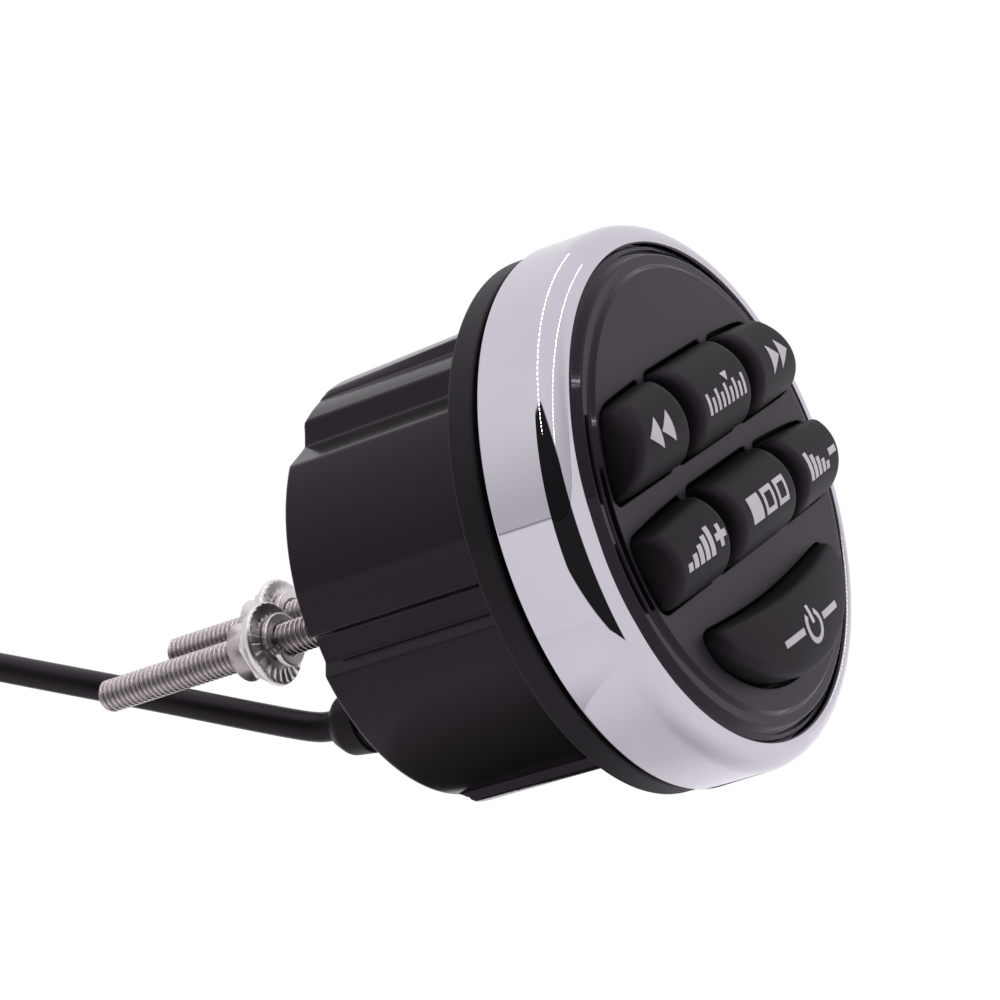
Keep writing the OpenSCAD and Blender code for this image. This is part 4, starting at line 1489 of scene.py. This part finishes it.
@dataclass(frozen=True)
class Cable:
    """Strain relief, cable, tie and plug.

    The plug's tables give radius, level and rounding of its corners, from where the cable enters.
    """

    diameter: float = 3.6
    exit: Triple = (0.0, 44.5, -12.8)
    route: tuple[Pair, ...] = (
        (0, 0), (2, 0.2), (5, 1.3), (12.5, 4.8), (21.5, 9.1), (30.5, 13.3), (39.5, 17.5), (47.5, 21.2),
        (55, 24), (62, 24.2), (69, 21.2), (74, 15.2), (76, 7.8), (76, -0.4), (76, -9.4), (76, -18.4),
        (76, -27.4), (76, -33.4))
    turns: int = 7
    turn_points: int = 96
    layers: int = 4
    coil_radius: float = 23.5
    pitch: float = 4.1
    climb: float = 0.5
    drop: float = 13.3
    gland_tip: float = 3.7
    gland_root: float = 6.0
    gland_start: float = -27.0
    gland_end: float = -44.5
    gland_taper: float = 15.5
    gland_face: Pair = (2.3, 1.6)
    gland_neck: Pair = (3.5, -19.5)
    groove_start: float = 2.8
    groove_width: float = 1.2
    groove_depth: float = 0.5
    groove_back: float = 2.0
    tie_slack: float = 1.6
    tie_corner: float = 2.2
    tie_band: Pair = (0.45, 2.4)
    tie_head: Pair = (3.2, 2.9)
    tie_levels: tuple[Pair, ...] = (
        (0.0, 0.1), (0.9, 0.1), (1.0, 0.3), (1.0, 2.4), (0.93, 2.9), (0.85, 3.05), (0.45, 3.05), (0.42, 2.5),
        (0.0, 2.5))
    plug_corners: tuple[Triple, ...] = (
        (0.0, 0.6, 0.0), (2.3, 0.6, 0.2), (2.6, 0.0, 0.3), (2.75, -2.0, 0.2), (2.35, -2.2, 0.15),
        (2.35, -3.0, 0.15), (2.85, -3.2, 0.2), (2.95, -4.6, 0.2), (2.5, -4.8, 0.15), (2.5, -5.6, 0.15),
        (3.1, -5.8, 0.2), (3.2, -8.0, 0.6), (4.7, -8.0, 0.5), (5.5, -9.5, 0.8), (5.5, -23.2, 0.6),
        (4.7, -24.0, 0.6), (0.0, -24.0, 0.0))
    plug_face: tuple[Pair, ...] = ((4.0, -24.0), (0.0, -24.0))
    grip_radius: float = 5.5
    grip_levels: tuple[float, ...] = (-10.9, -11.2, -11.6, -16.0, -21.4, -21.8, -22.1)
    grip_span: tuple[float, float, float, float] = (11.0, 11.7, 21.3, 22.0)
    grip_cut: float = -12.0
    flutes: int = 18
    flute_depth: float = 0.35
    sleeve: tuple[Triple, ...] = (
        (4.6, -24.0, 0.0), (4.6, -32.0, 0.28), (4.0, -32.0, 0.28), (4.0, -24.0, 0.0))

    @property
    def lead_end(self) -> Array:
        """Point where the hanging lead meets the coil."""
        return np.array(self.exit) + [0.0, *self.route[-1]]

    @property
    def coil_centre(self) -> Array:
        """Middle of the coil's first layer."""
        return self.lead_end + [0.0, self.coil_radius, -self.diameter]

    def coil(self) -> Array:
        """Centre line of the coil.

        After s turns it lies at angle 180 + 360 s. Its radius falls by one pitch a turn along a layer and
        grows again along the next, and it climbs one pitch along x in the half turn round each reversal.

        Returns:
            The points in millimetres.
        """
        s = np.linspace(0.0, self.turns, self.turns * self.turn_points + 1)
        per_layer = self.turns / self.layers
        phase = np.mod(s, 2 * per_layer)
        radius = self.coil_radius - self.pitch * np.where(phase < per_layer, phase, 2 * per_layer - phase)
        steps = per_layer * np.arange(1, self.layers)
        layer = np.clip((s[:, None] - steps) / self.climb + 0.5, 0.0, 1.0).sum(axis=1)
        angle = np.pi + 2 * np.pi * s
        spots = np.stack([self.pitch * layer, radius * np.cos(angle), radius * np.sin(angle)], axis=1)
        return self.coil_centre + spots

    def path(self) -> Array:
        """Centre line of the whole cable in millimetres, from inside the strain relief to the plug.

        The lead is a cubic spline through the route: on each span, the point is the cubic with the
        neighbours' half difference as its slope. A short running mean takes the kinks out.

        Returns:
            The points, about a millimetre apart.
        """
        flat = np.array(self.route, dtype=float)
        lead = np.array(self.exit) + np.column_stack([np.zeros(len(flat)), flat])
        padded = np.concatenate([[lead[0] - [0.0, 2.0, 0.0]], lead, [lead[-1] - [0.0, 0.0, 8.0]]])
        before, start, end, after = padded[:-3], padded[1:-2], padded[2:-1], padded[3:]
        t = np.linspace(0.0, 1.0, 9)[:-1, None, None]
        spans = 0.5 * (2 * start + (end - before) * t + (2 * before - 5 * start + 4 * end - after) * t ** 2
                       + (3 * start - before - 3 * end + after) * t ** 3)
        curve = np.swapaxes(spans, 0, 1).reshape(-1, 3)
        coil = self.coil()
        join = np.linspace(lead[-1], coil[0], 4)[:-1]
        last = np.linspace(coil[-1], coil[-1] - [0.0, 0.0, self.diameter], 5)[1:]
        entry = lead[0] - np.array([[0.0, 3.0, 0.0], [0.0, 2.0, 0.0], [0.0, 1.0, 0.0]])
        line = np.concatenate([entry, curve, join, coil, last])
        padded = np.concatenate([np.repeat(line[:1], 3, axis=0), line, np.repeat(line[-1:], 3, axis=0)])
        return np.mean([padded[i:i + len(line)] for i in range(7)], axis=0)

    def gland(self) -> None:
        """Turns the strain relief: a taper with three flex grooves, a round tip and a threaded neck."""
        tip, end, taper = self.gland_tip, self.gland_end, self.gland_taper
        gain = self.gland_root - tip
        pitch = taper / 5
        face, rise = self.gland_face
        corners = [(0.0, end, 0.0), (face, end, 0.6), (tip, end + rise, 1.6)]
        for k in (1, 2, 3):
            high = end + self.groove_start + k * pitch
            low = high - self.groove_width
            bottom = tip + gain * k * pitch / taper - self.groove_depth
            rims = [tip + gain * (level - end - self.groove_back) / taper for level in (low, high)]
            corners += [(rims[0], low, 0.3), (bottom, low, 0.25), (bottom, high, 0.25), (rims[1], high, 0.3)]
        neck, inside = self.gland_neck
        corners += [(self.gland_root, self.gland_start, 0.3), (neck, self.gland_start, 0.0),
                    (neck, inside, 0.3), (0.0, inside, 0.0)]
        grid = lathe(rounded(corners, False, 5), 96) + [0.0, -self.drop, 0.0]
        made = Shell().grid(to_row(grid)).build("strain_relief", 50.0)
        adopt(made, "head", Slot.CABLE, [GLAND], "cable_gland")

    def tie(self) -> bpy.types.Object:
        """Makes the tie: a thin band round the windings, with a ratchet head on its top.

        The band's section is carried round a rectangle with round corners, along the outward normal.

        Returns:
            The tie.
        """
        depth = self.pitch * (self.layers - 1)
        span = self.pitch * self.turns / self.layers
        middle = self.coil_centre + [depth / 2, 0.0, self.coil_radius - span / 2]
        wide, tall = (size / 2 for size in (depth + self.diameter + self.tie_slack,
                                            span + self.diameter + self.tie_slack))
        corners = [(wide, -tall), (wide, tall), (-wide, tall), (-wide, -tall)]
        loop = rounded([(*corner, self.tie_corner) for corner in corners], True, 8)
        outward = np.roll(loop, -1, axis=0) - np.roll(loop, 1, axis=0)
        outward = np.column_stack([outward[:, 1], -outward[:, 0]])
        outward /= np.linalg.norm(outward, axis=1, keepdims=True)
        thick, half = self.tie_band
        section = bar((-thick, -half), (thick, half), 0.3, 3)
        place = loop[:, None] + section[None, :, :1] * outward[:, None]
        along = np.broadcast_to(section[None, :, 1], place.shape[:2])
        grid = (middle + np.stack([place[..., 0], along, place[..., 1]], axis=-1)) * MM
        shell = Shell().grid(grid, close=True)
        length, width = self.tie_head
        outline = bar((-length, -width), (length, width), 0.8, 5)
        top = middle + [0.0, 0.0, tall]
        rows = [top + at_level(outline * share, level) for share, level in self.tie_levels]
        shell.grid(np.stack(rows) * MM)
        return adopt(shell.build("tie_band", 40.0), "head", Slot.TIE, [TIE], "cable_tie")

    def plug(self) -> list[bpy.types.Object]:
        """Turns the plug downwards: a ribbed grip and neck, and the metal shell with its rolled edge.

        The grip's radius loses the flutes' depth, as 1 - |cos(9 t)| to the fourth.

        Returns:
            The moulded body and the shell.
        """
        at = self.path()[-1]
        at = np.array([at[0], at[1], self.coil()[-1][2] - self.diameter])
        profile = np.concatenate([rounded(self.plug_corners, False, 4)[:-2], self.plug_face])
        cut = int(np.argmax(profile[:, 1] < self.grip_cut))
        steps = np.array([[self.grip_radius, level] for level in self.grip_levels])
        rows = np.concatenate([profile[:cut], steps, profile[cut:]])
        angles = turn(144)
        flute = (1.0 - np.abs(np.cos(self.flutes / 2 * angles)) ** 4) * self.flute_depth
        grip = np.interp(-rows[:, 1], self.grip_span, [0.0, 1.0, 1.0, 0.0])
        grip = grip * (rows[:, 0] > self.grip_radius - 0.1)
        grid = polar(rows[:, :1] - grip[:, None] * flute, angles, rows[:, 1:])
        body = Shell().grid((at + grid) * MM).build("plug_grip", 50.0)
        adopt(body, "head", Slot.CABLE, [GLAND], "cable_plug")
        rim = lathe(rounded(self.sleeve, True, 5), 96)
        sheath = Shell().grid((at + rim) * MM, close=True).build("plug_sleeve", 50.0)
        adopt(sheath, "head", Slot.PLUG, [NICKEL], "plug_shell")
        return [body, sheath]

    def build(self) -> None:
        path = self.path()
        made = Shell().grid(tube(path * MM, self.diameter / 2 * MM, 20)).build("supply_cable", 60.0)
        adopt(made, "head", Slot.CABLE, [CABLE], "cable_lead", "cable_coil")
        self.gland()
        pieces = [self.tie(), *self.plug(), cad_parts["plug_pins"]]


# Inside, studio and hand-over


@dataclass(frozen=True)
class Inside:
    """CAD nodes that keep their own shape."""

    def dress(self) -> None:
        """Gives each node that is kept its finish."""
        finishes = {"face_seal": RUBBER, "face_screws": BRIGHT_STEEL, "keypad_mat": SILICONE,
                    "circuit_board": BOARD, "contact_pads": GOLD, "controller_chip": CHIP,
                    "capacitors": ALUMINIUM, "cable_header": NYLON, "cable_tail_inside": CABLE,
                    "gland_nut": GLAND, "plug_pins": GOLD}
        for name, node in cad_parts.items():
            finish = CARBON if name.startswith("pill_") else finishes.get(name)
            if finish:
                node.data.materials.clear()
                node.data.materials.append(finish.material())
                LOG.info("%s: %s", name, finish.name)


@dataclass(frozen=True)
class Studio:
    """Camera, light and floor.

    Attributes:
        lens: Focal length in millimetres.
        place: Place of the camera.
        right: Direction to the right in the picture.
        up: Direction upwards in the picture.
        back: Direction from the object to the camera.
        floor_level: Height of the floor.
        floor_size: Radius of the floor.
        floor_middle: Middle of the floor.
        card_level: Height of the card.
        card_span: Lowest and highest corner of the card.
        card_fade: Places along x where the card's painted shade starts and is full.
        card_tones: Colours of the card: pale where it stands in for the lit floor, and dark where it is
            painted shade under the can.
        floor_tones: Colours of the floor's darker and lighter patches.
        box_tone: Colour of the light box.
        box_turn: Turn of the light box in degrees.
        opening: Left and right side of the dark opening, then height and slope of its sill and head.
        opening_dark: Share of the light that the opening takes.
        opening_soft: Softness of the opening's sides, sill and head.
        opening_top: Heights between which the opening ends.
        opening_front: Depths between which the opening starts.
        row_slope: Slope of the rows of lights on the ceiling.
        rows: Place of each row.
        row_soft: Distances from a row at which its lights start to fade and are dark.
        row_middle: Middle of the rows along x.
        row_ends: Distances from it between which the rows end.
        row_height: Heights between which the ceiling starts.
        light_pitch: Distance between two lights of a row.
        light_edge: Values of the rows' wave between which a light starts.
        row_light: Strength of the lights.
        wall_light: Strength of the upper wall.
        ceiling_light: Strength of the ceiling.
        floor_light: Strength of the lower wall.
        wall_start: Heights between which the upper wall starts.
        wall_end: Heights between which it turns into the ceiling.
        beside: Places along x between which the upper wall and the seam end.
        seam: Height of the seam between the walls.
        seam_soft: Distances from the seam at which it starts to fade and ends.
        seam_dark: Share of the light that the seam takes.
        waver: Scale, detail and height of the waver of wall and seam.
        least: Least depth or height that a direction is divided by.
    """

    lens: float = 128.93
    place: Triple = (-0.34751, -0.19371, 0.05091)
    right: Triple = (0.43583, -0.81769, -0.37609)
    up: Triple = (0.27983, -0.27405, 0.92010)
    back: Triple = (-0.85543, -0.50625, 0.10937)
    floor_level: float = -0.09
    floor_size: float = 0.21
    floor_middle: Pair = (0.0, 0.06)
    # The card is painted shade for mirrored light: dark under the can, and pale at its left like the lit
    # floor.
    card_level: float = -0.045
    card_span: tuple[Pair, Pair] = ((-0.08, 0.014), (0.06, 0.047))
    card_fade: Pair = (-0.065, 0.005)
    card_tones: tuple[Triple, Triple] = ((0.72, 0.71, 0.73), (0.015, 0.015, 0.015))
    floor_tones: tuple[Triple, Triple] = ((0.70, 0.69, 0.71), (0.74, 0.73, 0.75))
    box_tone: Triple = (0.98, 0.955, 1.0)
    box_turn: float = 12.0
    opening: tuple[float, float, float, float, float, float] = (-0.79, 0.84, -0.5, -0.54, 1.8, -1.26)
    opening_dark: float = 0.98
    opening_soft: Triple = (0.02, 0.03, 0.1)
    opening_top: Pair = (1.7, 1.95)
    opening_front: Pair = (0.02, 0.1)
    row_slope: float = 0.21
    rows: Pair = (-0.83, 0.13)
    row_soft: Pair = (0.008, 0.02)
    row_middle: float = 0.1
    row_ends: Pair = (0.95, 1.0)
    row_height: Pair = (0.25, 0.35)
    light_pitch: float = 0.045
    light_edge: Pair = (-0.5, 0.1)
    row_light: float = 14.0
    wall_light: float = 0.62
    ceiling_light: float = 0.92
    floor_light: float = 0.92
    wall_start: Pair = (0.27, 0.29)
    wall_end: Pair = (0.3, 0.9)
    beside: Pair = (0.1, 0.5)
    seam: float = 0.28
    seam_soft: Pair = (0.002, 0.009)
    seam_dark: float = 0.55
    waver: Triple = (9.0, 3.0, 0.03)
    least: float = 0.02

    def camera(self) -> None:
        """Sets the camera whose axes are right, up and back, for a frame of 1000 by 1000."""
        data = bpy.data.cameras.new("camera")
        data.lens = self.lens
        data.sensor_width = 36.0
        data.clip_start = 0.01
        camera = bpy.data.objects.new("camera", data)
        turned = Matrix((self.right, self.up, self.back)).transposed().to_4x4()
        camera.matrix_world = Matrix.Translation(self.place) @ turned
        bpy.context.scene.collection.objects.link(camera)
        bpy.context.scene.camera = camera

    def dark_opening(self, graph: Graph, x: Wire, y: Wire, z: Wire) -> Wire:
        """Share of the dark opening behind the camera in a direction.

        The box's depth runs along a, and its width along w. A direction d meets the opening at the places
        (d.w, d.z) / -(d.a), where its sides are upright and its sill and head slope.

        Args:
            graph: Graph of the world.
            x: Direction's part along x.
            y: Direction's part along y.
            z: Direction's part along z.

        Returns:
            1 in the opening and 0 beside it.
        """
        turned = math.radians(self.box_turn)
        ahead = 0.0 - (x * math.cos(turned) + y * math.sin(turned))
        aside = x * math.sin(turned) - y * math.cos(turned)
        depth = graph.math("MAXIMUM", ahead, self.least)
        across, up = aside / depth, z / depth
        left, right, low, low_slope, high, high_slope = self.opening
        side, sill, head = self.opening_soft
        dark = across.edge(left, side) * (1.0 - across.edge(right, side))
        dark = dark * (up - low_slope * across).edge(low, sill)
        dark = dark * (1.0 - (up - high_slope * across).edge(high, head))
        return dark * (1.0 - up.step(*self.opening_top)) * ahead.step(*self.opening_front)

    def ceiling_rows(self, graph: Graph, x: Wire, y: Wire, z: Wire) -> Wire:
        """Share of the small lights on the ceiling in a direction.

        A direction meets the ceiling at (x, y) / z, where each row of lights is a straight line, and a sine
        along the row parts its lights.

        Args:
            graph: Graph of the world.
            x: Direction's part along x.
            y: Direction's part along y.
            z: Direction's part along z.

        Returns:
            1 on a light and 0 beside it.
        """
        height = graph.math("MAXIMUM", z, self.least)
        along = x / height
        row = y / height - self.row_slope * along
        far = graph.math("ABSOLUTE", along - self.row_middle)
        lights = z.step(*self.row_height) * (1.0 - far.step(*self.row_ends))
        wave = graph.math("SINE", along * (2.0 * math.pi / self.light_pitch))
        lights = lights * wave.step(*self.light_edge)
        strips = [1.0 - graph.math("ABSOLUTE", row - place).step(*self.row_soft) for place in self.rows]
        return lights * (strips[0] + strips[1])

    def world(self) -> None:
        """Light box: pale walls, two rows of small lights on its ceiling, a dark opening behind the camera.

        On the left, the upper wall is darker than the lower one, with a thin wavering seam between them.
        """
        world = bpy.data.worlds.new("studio")
        bpy.context.scene.world = world
        world.use_nodes = True
        graph = Graph(world.node_tree)
        aim = graph.out("ShaderNodeTexCoord", "Generated")
        x, y, z = graph.axes(aim)
        dark = self.dark_opening(graph, x, y, z)
        lights = self.ceiling_rows(graph, x, y, z)
        scale, detail, height = self.waver
        waver = graph.noise(aim, scale, detail) * height
        beside = 1.0 - x.step(*self.beside)
        upper = (z + waver).step(*self.wall_start)
        walls = self.floor_light + (self.wall_light - self.floor_light) * upper * beside
        walls = walls + (self.ceiling_light - self.wall_light) * z.step(*self.wall_end) * beside
        seam = 1.0 - graph.math("ABSOLUTE", z - self.seam + waver).step(*self.seam_soft)
        strength = walls * (1.0 - self.opening_dark * dark) * (1.0 - self.seam_dark * seam * beside)
        strength = strength + lights * self.row_light
        sockets = {"Color": (*self.box_tone, 1.0), "Strength": strength}
        light = graph.out("ShaderNodeBackground", 0, None, sockets)
        graph.node("ShaderNodeOutputWorld", None, {0: graph.white_to_camera(light, "ShaderNodeBackground")})

    def floor(self) -> None:
        """Pale round floor below the object, white to the camera as the backdrop is."""
        edge = polar(self.floor_size, turn(96), self.floor_level) + [*self.floor_middle, 0.0]
        floor = Shell().ends(edge).build("floor")
        made, graph = blank("pale_floor")
        place = graph.out("ShaderNodeTexCoord", "Object")
        dark, light = ((*tone, 1.0) for tone in self.floor_tones)
        tone = graph.mix(graph.noise(place, 40.0, 2.0), dark, light)
        matt = graph.out("ShaderNodeBsdfDiffuse", 0, None, {"Color": tone})
        graph.node("ShaderNodeOutputMaterial", None, {0: graph.white_to_camera(matt, "ShaderNodeEmission")})
        floor.data.materials.append(made)

    def card(self) -> None:
        """Card below the can that only mirrored light meets: painted shade under the can, fading to a pale
        tone at its left that stands in for the lit floor.
        """
        (left, near), (right, far) = self.card_span
        corners = np.array([(left, near), (right, near), (right, far), (left, far)])
        card = Shell().ends(at_level(corners, self.card_level)).build("painted_shade_card")
        made, graph = blank("painted_shade_card_look")
        place = graph.out("ShaderNodeTexCoord", "Object")
        fade = graph.axes(place)[0].step(*self.card_fade)
        pale, dark = ((*tone, 1.0) for tone in self.card_tones)
        # Painted shade: the card's tone goes from the floor's pale tone to near black under the can.
        tone = graph.mix(fade, pale, dark)
        matt = graph.out("ShaderNodeBsdfDiffuse", 0, None, {"Color": tone})
        graph.node("ShaderNodeOutputMaterial", None, {0: matt})
        card.data.materials.append(made)
        card.visible_camera = False
        card.visible_diffuse = False
        card.visible_shadow = False

    def lamp(self, name: str, aim: Triple, distance: float, size: Pair, power: float) -> None:
        """Soft area lamp that looks at the object.

        Args:
            name: Name of the lamp.
            aim: Direction from the object to the lamp.
            distance: Distance in metres.
            size: Width and height in metres.
            power: Power in watts.
        """
        data = bpy.data.lights.new(name, "AREA")
        data.shape = "RECTANGLE"
        data.size, data.size_y = size
        data.energy = power
        made = bpy.data.objects.new(name, data)
        way = Vector(aim).normalized()
        made.location = way * distance
        made.rotation_mode = "QUATERNION"
        made.rotation_quaternion = way.to_track_quat("Z", "Y")
        made.visible_camera = False
        made.visible_glossy = False
        bpy.context.scene.collection.objects.link(made)

    def build(self) -> None:
        """Sets up the whole stage."""
        self.camera()
        self.world()
        self.floor()
        self.card()
        self.lamp("top_light", aim=(0.3, 0.1, 0.95), distance=0.8, size=(0.5, 0.5), power=4.0)
        bpy.context.scene.view_settings.view_transform = "Standard"


def main() -> None:
    """Builds the stage and every piece."""
    logging.basicConfig(level=logging.INFO)
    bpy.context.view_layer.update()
    Studio().build()
    Cable().build()
    Bezel().build()
    Can().build()
    Keypad().build()
    Fixing(Side.LEFT, -42.3).build()
    Fixing(Side.RIGHT, -50.5).build()
    Inside().dress()


if __name__ == "__main__":
    main()
